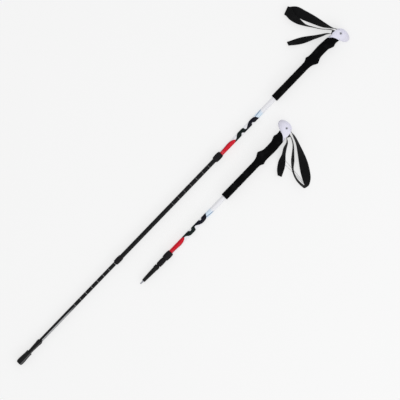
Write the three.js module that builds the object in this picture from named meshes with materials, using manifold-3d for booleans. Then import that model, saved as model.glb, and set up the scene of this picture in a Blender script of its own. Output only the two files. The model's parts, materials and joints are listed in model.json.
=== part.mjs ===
// A pair of three-section telescopic trekking poles lying side by side on a flat floor.
// The long pole is fully extended and wears its rubber foot. The short pole is fully
// collapsed and shows its bare steel tip. Millimetres, +Z up, +X from the tips to the heads.
import * as THREE from 'three';
import { mergeVertices } from 'three/addons/utils/BufferGeometryUtils.js';
import Module from 'manifold-3d';

const wasm = await Module();
wasm.setup();

// Driving dimensions, in millimetres.
const GAP = 0.3;                 // clearance between two pieces that touch
const WALL = 0.7;                // wall of every tube
const UPPER_R = 7.5;             // outer radius of the upper tube
const MIDDLE_R = 6.5;
const LOWER_R = 5.5;
const HANDLE = 284;              // foam grip and head together
const UPPER_SHOWN = 222;         // painted tube between the grip and its lock collar
const UPPER_COLLAR = { length: 27, most: 10.3, ends: 9.2 };
const LOWER_COLLAR = { length: 25, most: 8.5, ends: 8 };
const COLLAR_LIP = 4.5;          // bottom lip of a collar, which centres the thinner tube
const MIDDLE_SHOWN = { long: 388, short: 1 };
const LOWER_SHOWN = { long: 313.5, short: 2.5 };
const TIP_LENGTH = 72;           // steel point to the top of the flex tip's flange
const STEEL_SHOWN = 12;          // steel point standing out of the flex tip
const FLANGE_R = 7.9;            // the flex tip's flange
const FOOT_SOLE = 18.5;          // rubber under the steel point
const FOOT_HEIGHT = 45.5;
const INSERTED = 45;             // tube end above the top of the collar, when fully extended
const TUBE_TOP = -38;            // the upper tube ends inside the head
const GRIP_HALF = 15;            // half thickness of the grip, which rests on the floor
const GRIP_REST_X = -90;
const FOOT_R = 10;
const SPACING = 94;              // between the two poles' axes
const LONG_HEAD_X = 675;
const SHORT_HEAD_X = 369;
const PIN = { x: -16, y: -8, r: 2.5, head: 3.8 };
const SLOT_HALF = 10.6;          // half width of the strap slot in the head
const WEBBING = 1.8;             // thickness of the strap
const NARROW = 20;               // width of the strap at the head
const FOLD_R = 5.5;              // radius where the long pole's wrist band turns back over itself
const SIDES = 24;
const FLOOR_CLEAR = 0.7;

// Splits a geometry down to its positions, drops empty triangles and faces them outward.
function closed(geometry) {
  const bare = geometry.index ? geometry.clone() : geometry;
  for (const name of ['normal', 'uv', 'color']) {
    bare.deleteAttribute(name);
  }
  const merged = mergeVertices(bare);
  const p = merged.attributes.position;
  const from = merged.index.array;
  const kept = [];
  let volume = 0;
  for (let i = 0; i < from.length; i += 3) {
    const [a, b, c] = [from[i], from[i + 1], from[i + 2]];
    if (a === b || b === c || c === a) {
      continue;
    }
    kept.push(a, b, c);
    const [u, v, w] = [a, b, c].map((k) => new THREE.Vector3().fromBufferAttribute(p, k));
    volume += u.dot(v.cross(w));
  }
  if (volume < 0) {
    kept.reverse();
  }
  merged.setIndex(kept);
  return merged;
}

function solid(geometry) {
  const g = closed(geometry);
  return new wasm.Manifold(new wasm.Mesh({
    numProp: 3,
    vertProperties: new Float32Array(g.attributes.position.array),
    triVerts: new Uint32Array(g.index.array),
  }));
}

function fromSolid(body) {
  const mesh = body.getMesh();
  const geometry = new THREE.BufferGeometry();
  geometry.setAttribute('position', new THREE.BufferAttribute(mesh.vertProperties, 3));
  geometry.setIndex(Array.from(mesh.triVerts));
  return geometry;
}

// A body turned about the pole's axis. Each profile point is [x along the pole, radius].
function turned(profile, sides = SIDES) {
  const points = profile.map(([x, r]) => new THREE.Vector2(r, x));
  return new THREE.LatheGeometry(points, sides).rotateZ(-Math.PI / 2);
}

// A turned ring: the profile is closed on itself.
function ring(profile, sides = SIDES) {
  return turned([...profile, profile[0]], sides);
}

function tube(from, to, outer, inner) {
  return ring([[from, inner], [from, outer], [to, outer], [to, inner]]);
}

function rod(from, to, r, sides = SIDES) {
  return turned([[from, 0], [from, r], [to, r], [to, 0]], sides);
}

// A rod across the head, along z, at the strap pin.
function crossRod(from, to, r, sides = 16) {
  const body = new THREE.CylinderGeometry(r, r, to - from, sides).rotateX(Math.PI / 2);
  return body.translate(PIN.x, PIN.y, (from + to) / 2);
}

// A flat outline in the pole's x and y, given a thickness along z.
function slab(shape, half) {
  const thickness = { depth: 2 * half, bevelEnabled: false, curveSegments: 8 };
  return new THREE.ExtrudeGeometry(shape, thickness).translate(0, 0, -half);
}

function block(x0, x1, y0, y1, z0, z1) {
  const body = new THREE.BoxGeometry(x1 - x0, y1 - y0, z1 - z0);
  return body.translate((x0 + x1) / 2, (y0 + y1) / 2, (z0 + z1) / 2);
}

// Squares a circle's sine or cosine off a little, for a hand-shaped section.
function squared(value) {
  return Math.sign(value) * Math.abs(value) ** 0.86;
}

// Rounded sections strung along the pole. A station is [x, back y, front y, half thickness].
function loft(stations, sides) {
  const steps = stations.length - 1;
  const body = new THREE.CylinderGeometry(1, 1, 1, sides, steps);
  const p = body.attributes.position;
  for (let i = 0; i < p.count; i += 1) {
    const [x, back, front, half] = stations[Math.round((0.5 - p.getY(i)) * steps)];
    const y = (back + front) / 2 + squared(p.getX(i)) * (back - front) / 2;
    p.setXYZ(i, x, y, squared(p.getZ(i)) * half);
  }
  return body;
}

// The handle's outer shape, grip and head in one. The back carries the strap, the front the nose.
const FOAM_R = 10.9;
const FOAM_GROOVES = [-237, -199, -161];

function handleStations() {
  const foam = [[-HANDLE, 10.2], [-HANDLE + 1.5, FOAM_R]];
  for (const x of FOAM_GROOVES) {
    foam.push([x - 1.6, FOAM_R], [x, FOAM_R - 0.8], [x + 1.6, FOAM_R]);
  }
  const grip = [
    [-152, 10.9, -11, 11.2], [-143, 12.8, -12.4, 12.4], [-136, 16.5, -14.6, 13.4],
    [-130, 14.6, -18.2, 14], [-124, 13.6, -20.9, 14.4], [-117, 13.4, -18.4, 14.6],
    [-108, 13.7, -14.6, 14.8], [-96, 14.3, -13.6, GRIP_HALF], [-84, 14.4, -13.6, GRIP_HALF],
    [-72, 13.8, -14.4, 14.8], [-63, 13, -18, 14.6], [-56, 12.4, -20, 14.5],
    [-49, 11.6, -17.6, 14.4], [-42, 10.8, -17.4, 14.3],
  ];
  const head = [
    [-36, 13.5, -18.4, 14.3], [-32, 15.5, -20.5, 14.4], [-29, 16.8, -28, 14.5],
    [-25, 16.8, -34, 14.5], [-20, 16.6, -37.5, 14.5], [-14, 15.2, -38.4, 14.3],
    [-9, 6.4, -36.6, 13.4], [-5, 2.8, -32.5, 11.6],
    [-2, -2, -26.5, 8.8], [0, -7, -20, 5.5],
  ];
  return [...foam.map(([x, r]) => [x, r, -r, r]), ...grip, ...head].reverse();
}

// The slanted line where the white head meets the black grip, moved along the pole by shift.
function headRegion(shift) {
  const shape = new THREE.Shape();
  shape.moveTo(-52 + shift, 40);
  shape.lineTo(-52 + shift, 13);
  shape.quadraticCurveTo(-48 + shift, 7.5, -42 + shift, 2);
  shape.quadraticCurveTo(-35 + shift, -6, -33 + shift, -24);
  shape.lineTo(-33 + shift, -60);
  shape.lineTo(20, -60);
  shape.lineTo(20, 40);
  return slab(shape, 40);
}

// The slot flares towards the grip, where the strap's tail leaves it.
function strapSlot() {
  const mouth = new THREE.Shape();
  mouth.moveTo(-10.5, -7);
  mouth.lineTo(-10.5, 40);
  mouth.lineTo(-42, 40);
  mouth.lineTo(-42, 12.5);
  mouth.lineTo(-36, 6);
  mouth.lineTo(-36, -7);
  const eye = crossRod(-SLOT_HALF, SLOT_HALF, 5.6, 20);
  return solid(slab(mouth, SLOT_HALF)).add(solid(eye));
}

function headShell() {
  const bore = rod(-80, TUBE_TOP + GAP, UPPER_R + GAP);
  const cheek = 12.6;
  let body = solid(loft(handleStations(), 22)).intersect(solid(headRegion(0)));
  body = body.subtract(solid(bore)).subtract(strapSlot());
  body = body.subtract(solid(crossRod(-30, 30, PIN.r + GAP)));
  body = body.subtract(solid(crossRod(cheek, 30, PIN.head + GAP)));
  return body.subtract(solid(crossRod(-30, -cheek, PIN.head + GAP)));
}

function foamGrip() {
  const bore = rod(-HANDLE - 10, 10, UPPER_R + GAP);
  const body = solid(loft(handleStations(), 22)).subtract(solid(headRegion(-0.45)));
  return body.subtract(solid(bore));
}

// The strap is held by a barrel nut and a screw that meet inside the head.
function barrelNut() {
  const body = solid(crossRod(-13.8, -12.9, PIN.head)).add(solid(crossRod(-13, 11.6, PIN.r)));
  return body.subtract(solid(crossRod(-2, 20, 1.8)));
}

function strapScrew() {
  return solid(crossRod(12.9, 13.8, PIN.head)).add(solid(crossRod(0, 13, 1.5)));
}

// The strap turns round this wedge inside the slot, and the wedge clamps it. It is tilted so
// that it draws out between the strap's two legs.
const WEDGE = { x: -24.7, y: 2, turn: 5.5, half: 9.8, height: 13.4, tilt: 25 };

// A place across and along the tilted wedge, in the pole's x and y.
function byWedge(across, along) {
  const a = THREE.MathUtils.degToRad(WEDGE.tilt);
  const x = WEDGE.x + across * Math.cos(a) - along * Math.sin(a);
  const y = WEDGE.y + across * Math.sin(a) + along * Math.cos(a);
  return [x, y];
}

function strapWedge() {
  const r = WEDGE.turn - WEBBING / 2 - 0.4;
  const shape = new THREE.Shape();
  shape.moveTo(r, 0);
  shape.lineTo(r - 0.3, WEDGE.height);
  shape.lineTo(0.3 - r, WEDGE.height);
  shape.lineTo(-r, 0);
  shape.absarc(0, 0, r, Math.PI, 2 * Math.PI, false);
  const body = slab(shape, WEDGE.half).rotateZ(THREE.MathUtils.degToRad(WEDGE.tilt));
  return body.translate(WEDGE.x, WEDGE.y, 0);
}

// Where the strap lies on the floor. A row is [x, y, lean, width]. The lean is 90 where the
// webbing stands on its edge, near 0 where it lies flat, and over 90 where the long pole's
// band comes back over itself. No lean at all marks the fold. The loop comes first.
const STRAP_LOOP = {
  long: [
    [-21.5, 22, 77, 20], [-31, 44, 42, 22], [-41, 76.5, 20, 26], [-51.5, 108.5, 5, 28.5],
    [-58.5, 130.5, 3, 28.5], [-75, 147, 0, 26.5], [-78, 126, 163, 24], [-74.5, 102, 146, 20.5],
    [-68.5, 82, 110, 20], [-57.5, 62.5, 98, 20], [-44, 40.5, 95, 20], [-27.5, 21, 91, 20],
  ],
  short: [
    [-18, 25, 72, 20], [-25, 44, 64, 21.5], [-37.5, 68, 44, 24.5], [-52.5, 94, 20, 27],
    [-67, 116, 9, 28], [-80, 134, 17, 26], [-93.5, 145.5, 44, 22], [-100.5, 146.5, 62, 20],
    [-103, 138.5, 72, 20], [-102.5, 119, 76, 20], [-98, 103.5, 79, 20], [-89, 87.5, 78, 20],
    [-71, 70, 62, 20], [-57.5, 58, 70, 20], [-37, 39, 84, 20], [-27.5, 24, 88, 20],
  ],
};
const STRAP_TAIL = {
  long: [
    [-42, 19, 80, 20], [-60, 30, 64, 20], [-78, 41, 50, 20], [-96, 52, 26, 20],
    [-112, 62, 12, 20], [-128, 72, 34, 20], [-143, 82, 54, 20],
  ],
  short: [
    [-44, 21, 78, 20], [-60, 28.5, 60, 20], [-76, 38.5, 54, 20], [-93, 48.5, 20, 21.5],
    [-107, 58, 6, 22], [-119.5, 66, 29, 21], [-129, 73.5, 52, 20],
  ],
};

// The whole strap as rows of { at, reach }: reach runs from the middle of the webbing to an edge.
function strapRoute(which, floorAt) {
  const rows = [];
  const add = (x, y, z, heading, lean, width) => {
    const a = THREE.MathUtils.degToRad(lean);
    const flat = Math.cos(a) * width / 2;
    const rise = Math.sin(a) * width / 2;
    const reach = new THREE.Vector3(-Math.sin(heading) * flat, Math.cos(heading) * flat, rise);
    rows.push({ at: new THREE.Vector3(x, y, z), reach });
  };
  const inSlot = (x, y) => add(x, y, 0, 0, 90, NARROW);
  const rest = WEBBING / 2 + FLOOR_CLEAR;
  const fold = (x, y, heading, width) => {
    for (const angle of [-90, -45, 0, 45, 90]) {
      const a = THREE.MathUtils.degToRad(angle);
      const ahead = FOLD_R * Math.cos(a);
      const z = floorAt(x) + rest + FOLD_R + FOLD_R * Math.sin(a);
      add(x + ahead * Math.cos(heading), y + ahead * Math.sin(heading), z, heading, 0, width);
    }
  };
  const lay = (list, settles) => list.forEach(([x, y, lean, width], k) => {
    const [x0, y0] = list[Math.max(0, k - 1)];
    const [x1, y1] = list[Math.min(list.length - 1, k + 1)];
    if (lean === 0) {
      fold(x, y, Math.atan2(2 * y - y0 - y1, 2 * x - x0 - x1), width);
      return;
    }
    const a = THREE.MathUtils.degToRad(lean);
    const lying = Math.sin(a) * width / 2 + Math.cos(a) * WEBBING / 2 + FLOOR_CLEAR;
    const height = lean > 90 ? rest + 2 * FOLD_R : lying;
    add(x, y, settles(k) * (floorAt(x) + height), Math.atan2(y1 - y0, x1 - x0), lean, width);
  });
  const eye = PIN.r + 0.5 + WEBBING / 2;
  for (let angle = 80; angle <= 360; angle += 35) {
    const a = THREE.MathUtils.degToRad(angle);
    inSlot(PIN.x + eye * Math.cos(a), PIN.y + eye * Math.sin(a));
  }
  inSlot(-13, 0);
  inSlot(-14.6, 9);
  const loop = STRAP_LOOP[which];
  lay(loop, (k) => Math.min(1, (k + 1) / 2, (loop.length - k) / 2));
  inSlot(...byWedge(WEDGE.turn, 9));
  for (let angle = 0; angle >= -180; angle -= 45) {
    const a = THREE.MathUtils.degToRad(angle);
    inSlot(...byWedge(WEDGE.turn * Math.cos(a), WEDGE.turn * Math.sin(a)));
  }
  inSlot(...byWedge(-WEDGE.turn, 9));
  lay(STRAP_TAIL[which], (k) => Math.min(1, (k + 1) / 2));
  return rows;
}

// A flat ribbon that follows the strap's route.
function wristStrap(which, floorAt) {
  const rows = strapRoute(which, floorAt);
  const path = new THREE.CatmullRomCurve3(rows.map(({ at }) => at), false, 'centripetal');
  const reaches = new THREE.CatmullRomCurve3(rows.map(({ reach }) => reach), false, 'catmullrom');
  const body = new THREE.BoxGeometry(1, 1, 1, 1, 1, 2 * (rows.length - 1));
  const p = body.attributes.position;
  for (let i = 0; i < p.count; i += 1) {
    const t = p.getZ(i) + 0.5;
    const along = path.getTangent(t);
    const across = reaches.getPoint(t);
    across.addScaledVector(along, -across.dot(along));
    const out = new THREE.Vector3().crossVectors(along, across).normalize();
    const at = path.getPoint(t).addScaledVector(across, 2 * p.getX(i));
    at.addScaledVector(out, p.getY(i) * WEBBING);
    p.setXYZ(i, at.x, at.y, at.z);
  }
  return body;
}

// A lock collar: a barrel on the end of the outer tube, with a lip that guides the inner tube.
function lockCollar(bottom, { length, most, ends }, outerTube, innerTube) {
  const top = bottom + length;
  return ring([
    [bottom, innerTube + GAP], [bottom, ends - 0.8], [bottom + 1, ends],
    [bottom + length * 0.3, most], [bottom + length * 0.75, most], [top - 1, ends], [top, ends - 0.8],
    [top, outerTube + GAP], [bottom + COLLAR_LIP, outerTube + GAP], [bottom + COLLAR_LIP, innerTube + GAP],
  ]);
}

// The twist lock on the end of an inner tube. It stands in the outer tube's bore.
function lockPieces(end, bore, tubeInner) {
  const stud = tubeInner > 5.5 ? 2 : 1.75;
  const sleeveR = bore - GAP;
  const mouth = sleeveR - 1.1;
  const sleeve = ring([
    [end + 2, stud + 0.4], [end + 2, sleeveR - 0.5], [end + 3, sleeveR], [end + 24, sleeveR],
    [end + 24, mouth], [end + 9, stud + 0.7], [end + 8, stud + 0.4],
  ]);
  let split = solid(sleeve);
  for (const turn of [0, Math.PI / 2]) {
    const slit = block(end + 10, end + 30, -10, 10, -0.6, 0.6).rotateX(turn);
    split = split.subtract(solid(slit));
  }
  const slope = (mouth - stud - 0.7) / 15;
  const coneTop = mouth - GAP * 1.4;
  const coneFoot = coneTop - 9 * slope;
  return {
    expander: split,
    expander_cone: ring([
      [end + 15, stud + GAP], [end + 15, coneFoot], [end + 24, coneTop], [end + 27, coneTop],
      [end + 27, stud + GAP],
    ]),
    lock_plug: ring([
      [end - 18, stud + GAP], [end - 18, tubeInner - GAP - 0.6], [end - 17, tubeInner - GAP],
      [end + GAP, tubeInner - GAP], [end + GAP, tubeInner + WALL], [end + 1.6, tubeInner + WALL],
      [end + 1.6, stud + GAP],
    ]),
    lock_stud: rod(end - 17, end + 33.5, stud, 16),
    stop_nut: tube(end + 30, end + 33, stud + 1.6, stud + GAP),
  };
}

// The tapered ferrule over the bottom of the lower tube.
function flexTip(point) {
  const top = point + TIP_LENGTH;
  return ring([
    [point + STEEL_SHOWN, 2.6], [point + STEEL_SHOWN, 4.6], [point + STEEL_SHOWN + 1, 5.1],
    [point + 61.5, 7.1], [point + 62.5, FLANGE_R], [top - 1, FLANGE_R], [top, FLANGE_R - 0.7],
    [top, LOWER_R + GAP], [point + 41.5, LOWER_R + GAP], [point + 41.5, 2.6],
  ]);
}

// A hardened steel point with a hollow crown.
function steelPoint(point) {
  return turned([
    [point + 1.2, 0], [point, 1.6], [point + 1.5, 2.2], [point + 9, 2.2],
    [point + 9.6, 3.4], [point + STEEL_SHOWN - GAP, 3.4], [point + STEEL_SHOWN - GAP, 2.2],
    [point + 30, 2.2], [point + 30, 0],
  ], 16);
}

// The rubber foot: a thick cup that pushes on over the flex tip.
function rubberFoot(point) {
  const sole = point - FOOT_SOLE;
  return turned([
    [sole, 0], [sole, 7], [sole + 1, 8.8], [sole + 3.5, 9.9], [sole + 8, FOOT_R], [sole + 14, FOOT_R],
    [sole + 40, 8.3], [sole + 41, 8.8], [sole + FOOT_HEIGHT - 1, 8.8], [sole + FOOT_HEIGHT, 8.2],
    [sole + FOOT_HEIGHT, 6.2], [point + 8.6, 5.5], [point + 8.6, 3.8], [point - GAP, 3.8], [point - GAP, 0],
  ]);
}

const LOOKS = {
  head: { color: 0xdcdbe9, roughness: 0.35, metalness: 0 },
  foam: { color: 0x101012, roughness: 0.95, metalness: 0 },
  webbing: { color: 0x0e0e10, roughness: 0.9, metalness: 0 },
  painted: { color: 0xc22a3c, roughness: 0.3, metalness: 0.2 },
  anodised: { color: 0x17181a, roughness: 0.35, metalness: 0.8 },
  plastic: { color: 0x121014, roughness: 0.5, metalness: 0 },
  rubber: { color: 0x1c1c1e, roughness: 0.85, metalness: 0 },
  steel: { color: 0x8c8f94, roughness: 0.3, metalness: 1 },
};

// One pole, from its head end at x = 0 down to its tip. side is +1 with the strap towards +Y.
function pole(which, side, headAt) {
  const upperTop = -HANDLE - UPPER_SHOWN;
  const upperBottom = upperTop - UPPER_COLLAR.length;
  const lowerTop = upperBottom - MIDDLE_SHOWN[which];
  const lowerBottom = lowerTop - LOWER_COLLAR.length;
  const point = lowerBottom - LOWER_SHOWN[which] - TIP_LENGTH;
  const restX = which === 'long' ? point - FOOT_SOLE + 11 : upperBottom + UPPER_COLLAR.length / 2;
  const restR = which === 'long' ? FOOT_R : UPPER_COLLAR.most;
  const slope = Math.asin((GRIP_HALF - restR) / (GRIP_REST_X - restX));
  const headHeight = GRIP_HALF - GRIP_REST_X * Math.sin(slope) + 0.05;
  const floorAt = (x) => -(headHeight + x * Math.sin(slope));
  const group = new THREE.Group();
  const add = (name, shape, look) => {
    const geometry = shape.isBufferGeometry ? shape : fromSolid(shape);
    const material = new THREE.MeshStandardMaterial(LOOKS[look]);
    const mesh = new THREE.Mesh(closed(geometry.scale(1, side, 1)), material);
    mesh.name = `${which}_${name}`;
    group.add(mesh);
  };
  const middleEnd = upperTop + INSERTED + MIDDLE_SHOWN.long - MIDDLE_SHOWN[which];
  const lowerEnd = lowerTop + INSERTED + LOWER_SHOWN.long - LOWER_SHOWN[which];
  add('head_shell', headShell(), 'head');
  add('foam_grip', foamGrip(), 'foam');
  add('strap_barrel_nut', fromSolid(barrelNut()).scale(1, 1, side), 'steel');
  add('strap_screw', fromSolid(strapScrew()).scale(1, 1, side), 'steel');
  add('strap_wedge', strapWedge(), 'plastic');
  add('wrist_strap', wristStrap(which, floorAt), 'webbing');
  add('upper_tube', tube(upperBottom + COLLAR_LIP + GAP, TUBE_TOP, UPPER_R, UPPER_R - WALL), 'painted');
  add('upper_lock_collar', lockCollar(upperBottom, UPPER_COLLAR, UPPER_R, MIDDLE_R), 'plastic');
  const middleFoot = lowerBottom + COLLAR_LIP + GAP;
  add('middle_tube', tube(middleFoot, middleEnd, MIDDLE_R, MIDDLE_R - WALL), 'anodised');
  add('lower_lock_collar', lockCollar(lowerBottom, LOWER_COLLAR, MIDDLE_R, LOWER_R), 'plastic');
  add('lower_tube', tube(point + 42, lowerEnd, LOWER_R, LOWER_R - WALL), 'anodised');
  const locks = {
    upper: lockPieces(middleEnd, UPPER_R - WALL, MIDDLE_R - WALL),
    lower: lockPieces(lowerEnd, MIDDLE_R - WALL, LOWER_R - WALL),
  };
  for (const [level, pieces] of Object.entries(locks)) {
    for (const [name, shape] of Object.entries(pieces)) {
      add(`${level}_${name}`, shape, name === 'lock_stud' || name === 'stop_nut' ? 'steel' : 'plastic');
    }
  }
  add('flex_tip', flexTip(point), 'plastic');
  add('steel_point', steelPoint(point), 'steel');
  if (which === 'long') {
    add('rubber_foot', rubberFoot(point), 'rubber');
  }
  group.position.set(headAt, side * SPACING / 2, headHeight);
  group.rotation.y = -slope;
  return group;
}

const group = new THREE.Group();
group.add(pole('long', 1, LONG_HEAD_X));
group.add(pole('short', -1, SHORT_HEAD_X));

export default group;
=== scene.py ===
# %% [markdown]
# # A pair of telescopic trekking poles
# Two three-section poles lie side by side on a pale floor. The long one is pulled out and
# wears a rubber foot. The short one is pushed in and shows its steel point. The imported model
# holds their sizes and joints. This script adds the looks: foam, moulded plastic, painted and
# anodised tube, rubber, steel and woven webbing.

# %% Load the frame
import json
import math

import bmesh
import bpy
import numpy as np
from mathutils import Matrix, Vector


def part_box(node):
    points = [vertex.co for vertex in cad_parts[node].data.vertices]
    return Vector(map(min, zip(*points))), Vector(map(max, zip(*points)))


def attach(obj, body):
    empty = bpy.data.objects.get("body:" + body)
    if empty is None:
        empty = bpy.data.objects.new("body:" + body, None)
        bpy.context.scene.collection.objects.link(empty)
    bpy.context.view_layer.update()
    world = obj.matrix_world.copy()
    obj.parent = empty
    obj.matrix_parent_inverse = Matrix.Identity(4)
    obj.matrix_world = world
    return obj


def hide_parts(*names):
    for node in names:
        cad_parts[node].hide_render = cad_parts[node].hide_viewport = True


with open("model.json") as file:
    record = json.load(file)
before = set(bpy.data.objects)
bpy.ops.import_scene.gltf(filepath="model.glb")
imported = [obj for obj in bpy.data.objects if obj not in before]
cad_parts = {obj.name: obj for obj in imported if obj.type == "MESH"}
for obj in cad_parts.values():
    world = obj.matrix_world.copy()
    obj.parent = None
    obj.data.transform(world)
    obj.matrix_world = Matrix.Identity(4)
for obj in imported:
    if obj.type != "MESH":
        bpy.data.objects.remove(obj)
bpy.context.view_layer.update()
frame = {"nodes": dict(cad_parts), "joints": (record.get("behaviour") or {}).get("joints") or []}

MM = 0.001
scene = bpy.context.scene
scene.view_settings.view_transform = "Standard"

# %% [markdown]
# ## The camera
# The poles are seen straight from above, so the camera looks down, and it is turned about
# its own axis so that they run from the lower left to the upper right. A long lens far away
# keeps the two poles parallel, and a perspective camera still lets the other views fit.

# %% Camera
POLE_ANGLE = math.radians(46.02)
SENSOR = 36.0
CAMERA_HEIGHT = 8.0
VIEW_WIDTH = 1.16
VIEW_CENTRE = (0.0300, -0.0025)

camera_data = bpy.data.cameras.new("camera")
camera_data.sensor_width = SENSOR
camera_data.lens = SENSOR * CAMERA_HEIGHT / VIEW_WIDTH
camera_data.clip_end = 200.0
camera = bpy.data.objects.new("camera", camera_data)
camera.location = (*VIEW_CENTRE, CAMERA_HEIGHT)
camera.rotation_euler = (0.0, 0.0, -POLE_ANGLE)
scene.collection.objects.link(camera)
scene.camera = camera
print("lens", round(camera_data.lens, 1), "mm")

# %% [markdown]
# ## A frame for each pole
# Each pole lies on its grip and on its foot or collar, so it slopes a little. Every piece is
# easier to make along the pole: x runs along it in millimetres with the head's end at 0, y
# points to the side that the strap leaves, and z is up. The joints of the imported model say
# where that frame is. The short pole is turned over, so its frame is a mirror of the long
# one's, and faces are turned round to suit.

# %% The two poles
JOINTS = {joint["name"]: joint for joint in frame["joints"]}


class Pole:
    """One pole, its own millimetre frame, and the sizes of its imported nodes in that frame."""

    def __init__(self, name, side):
        twist = JOINTS[f"{name}_upper_twist"]
        on_axis = Vector(twist["pos_m"])
        head_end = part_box(f"{name}_head_shell")[1].x
        self.name = name
        self.side = side
        self.along = Vector(twist["axis"]).normalized()
        self.up = Vector(JOINTS[f"{name}_strap_swing"]["axis"]).normalized()
        self.origin = on_axis + self.along * ((head_end - on_axis.x) / self.along.x)
        self.slope = math.asin(self.along.z)
        across = Vector((0, side, 0))
        columns = [c * MM for c in (self.along, across, self.up)] + [self.origin]
        self.matrix = Matrix([(*[c[k] for c in columns],) for k in range(3)] + [(0, 0, 0, 1)])
        self.inverse = self.matrix.inverted()

    def span(self, node):
        """(lowest x, highest x, largest radius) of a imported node, in this pole's frame."""
        points = [self.inverse @ v.co for v in frame["nodes"][f"{self.name}_{node}"].data.vertices]
        xs = [p.x for p in points]
        return min(xs), max(xs), max(math.hypot(p.y, p.z) for p in points)

    def floor_at(self, x):
        """Height of the floor under the pole, in its own frame."""
        return -(self.origin.z / MM + x * math.sin(self.slope))

    def body(self, part):
        return f"{self.name}_{part}"


LONG = Pole("long", 1)
SHORT = Pole("short", -1)
POLES = (LONG, SHORT)
for pole in POLES:
    place = [round(c, 4) for c in pole.origin]
    print(pole.name, "origin", place, "slope", round(math.degrees(pole.slope), 3))

# %% [markdown]
# ## Shader sums as Python
# A finish is easier to read when its masks are written as sums. Wire wraps a socket, and
# sums of wires add Math nodes. Finish.node makes any other node: its settings
# first, then the values or links of its sockets.

# %% Wires and finishes
CURVE_REACH = 1.2


class Wire:
    """An output socket that takes part in Python sums."""

    def __init__(self, finish, socket):
        self.finish = finish
        self.socket = socket

    def sum(self, operation, other, swap=False):
        pair = (other, self) if swap else (self, other)
        return self.finish.node("ShaderNodeMath", {"operation": operation}, {0: pair[0], 1: pair[1]})

    def __add__(self, other):
        return self.sum("ADD", other)

    def __radd__(self, other):
        return self.sum("ADD", other, True)

    def __sub__(self, other):
        return self.sum("SUBTRACT", other)

    def __rsub__(self, other):
        return self.sum("SUBTRACT", other, True)

    def __mul__(self, other):
        return self.sum("MULTIPLY", other)

    def __rmul__(self, other):
        return self.sum("MULTIPLY", other, True)

    def __truediv__(self, other):
        return self.sum("DIVIDE", other)

    def power(self, other):
        return self.sum("POWER", other)

    def wrapped(self, size):
        return self.sum("FLOORED_MODULO", size)

    def only(self, operation):
        return self.finish.node("ShaderNodeMath", {"operation": operation}, {0: self})

    def rising(self, low, high):
        """0 below low, 1 above high, with a smooth step between."""
        settings = {"interpolation_type": "SMOOTHSTEP"}
        limits = {"Value": self, "From Min": low, "From Max": high}
        return self.finish.node("ShaderNodeMapRange", settings, limits)

    def between(self, low, high, soft):
        return self.rising(low - soft, low + soft) * (1 - self.rising(high - soft, high + soft))


class Finish:
    """A material with a Principled shader and helpers for its nodes."""

    def __init__(self, name, **constants):
        self.material = bpy.data.materials.new(name)
        self.material.use_nodes = True
        self.tree = self.material.node_tree
        self.shader = self.tree.nodes["Principled BSDF"]
        for key, value in constants.items():
            self.shader.inputs[key.replace("_", " ")].default_value = value

    def node(self, kind, settings=None, inputs=None, output=0):
        made = self.tree.nodes.new(kind)
        for key, value in (settings or {}).items():
            setattr(made, key, value)
        for key, value in (inputs or {}).items():
            if isinstance(value, Wire):
                self.tree.links.new(value.socket, made.inputs[key])
            else:
                made.inputs[key].default_value = value
        return Wire(self, made.outputs[output])

    def place(self):
        return self.node("ShaderNodeTexCoord", output="Object")

    def parts(self, vector):
        return [self.node("ShaderNodeSeparateXYZ", None, {0: vector}, k) for k in range(3)]

    def in_pole(self, pole):
        """Object coordinates turned into a pole's own frame: x, y towards the strap, z, in mm."""
        turn = {"Location": pole.origin, "Rotation": (0.0, -pole.slope, 0.0), "Vector": self.place()}
        x, y, z = self.parts(self.node("ShaderNodeMapping", {"vector_type": "TEXTURE"}, turn))
        return x / MM, y * (pole.side / MM), z / MM

    def noise(self, scale, detail=3.0, roughness=0.55, vector=None, stretch=None):
        vector = vector or self.place()
        if stretch:
            vector = self.node("ShaderNodeMapping", None, {"Vector": vector, "Scale": stretch})
        sizes = {"Vector": vector, "Scale": scale, "Detail": detail, "Roughness": roughness}
        return self.node("ShaderNodeTexNoise", None, sizes)

    def cells(self, scale):
        return self.node("ShaderNodeTexVoronoi", None, {"Vector": self.place(), "Scale": scale})

    def curve(self, value, points):
        """A smooth line through points of (value, height), with heights up to CURVE_REACH."""
        start, end = points[0][0], points[-1][0]
        made = self.tree.nodes.new("ShaderNodeFloatCurve")
        line = made.mapping.curves[0]
        while len(line.points) < len(points):
            line.points.new(0.5, 0.5)
        for point, (place, height) in zip(line.points, points):
            share = (height + CURVE_REACH) / (2 * CURVE_REACH)
            point.location = ((place - start) / (end - start), share)
        made.mapping.update()
        self.tree.links.new(((value - start) / (end - start)).socket, made.inputs["Value"])
        return Wire(self, made.outputs[0]) * (2 * CURVE_REACH) - CURVE_REACH

    def mix(self, factor, low, high):
        settings = {"data_type": "RGBA", "clamp_factor": True}
        return self.node("ShaderNodeMix", settings, {0: factor, 6: low, 7: high}, 2)

    def feed(self, socket, wire):
        self.tree.links.new(wire.socket, self.shader.inputs[socket])

    def bump(self, height, distance, strength=1.0):
        """Adds a bump over any that the finish already has. distance is in metres."""
        inputs = {"Height": height, "Distance": distance, "Strength": strength}
        taken = self.shader.inputs["Normal"].links
        if taken:
            inputs["Normal"] = Wire(self, taken[0].from_socket)
        self.feed("Normal", self.node("ShaderNodeBump", None, inputs))


def rgb(red, green, blue):
    """A colour given in display numbers from 0 to 255, as the shader wants it."""
    linear = []
    for c in (red, green, blue):
        share = c / 255
        linear.append(share / 12.92 if c <= 10 else ((share + 0.055) / 1.055) ** 2.4)
    return (*linear, 1.0)


print("pale head plastic is", [round(c, 3) for c in rgb(218, 217, 232)[:3]])

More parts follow.
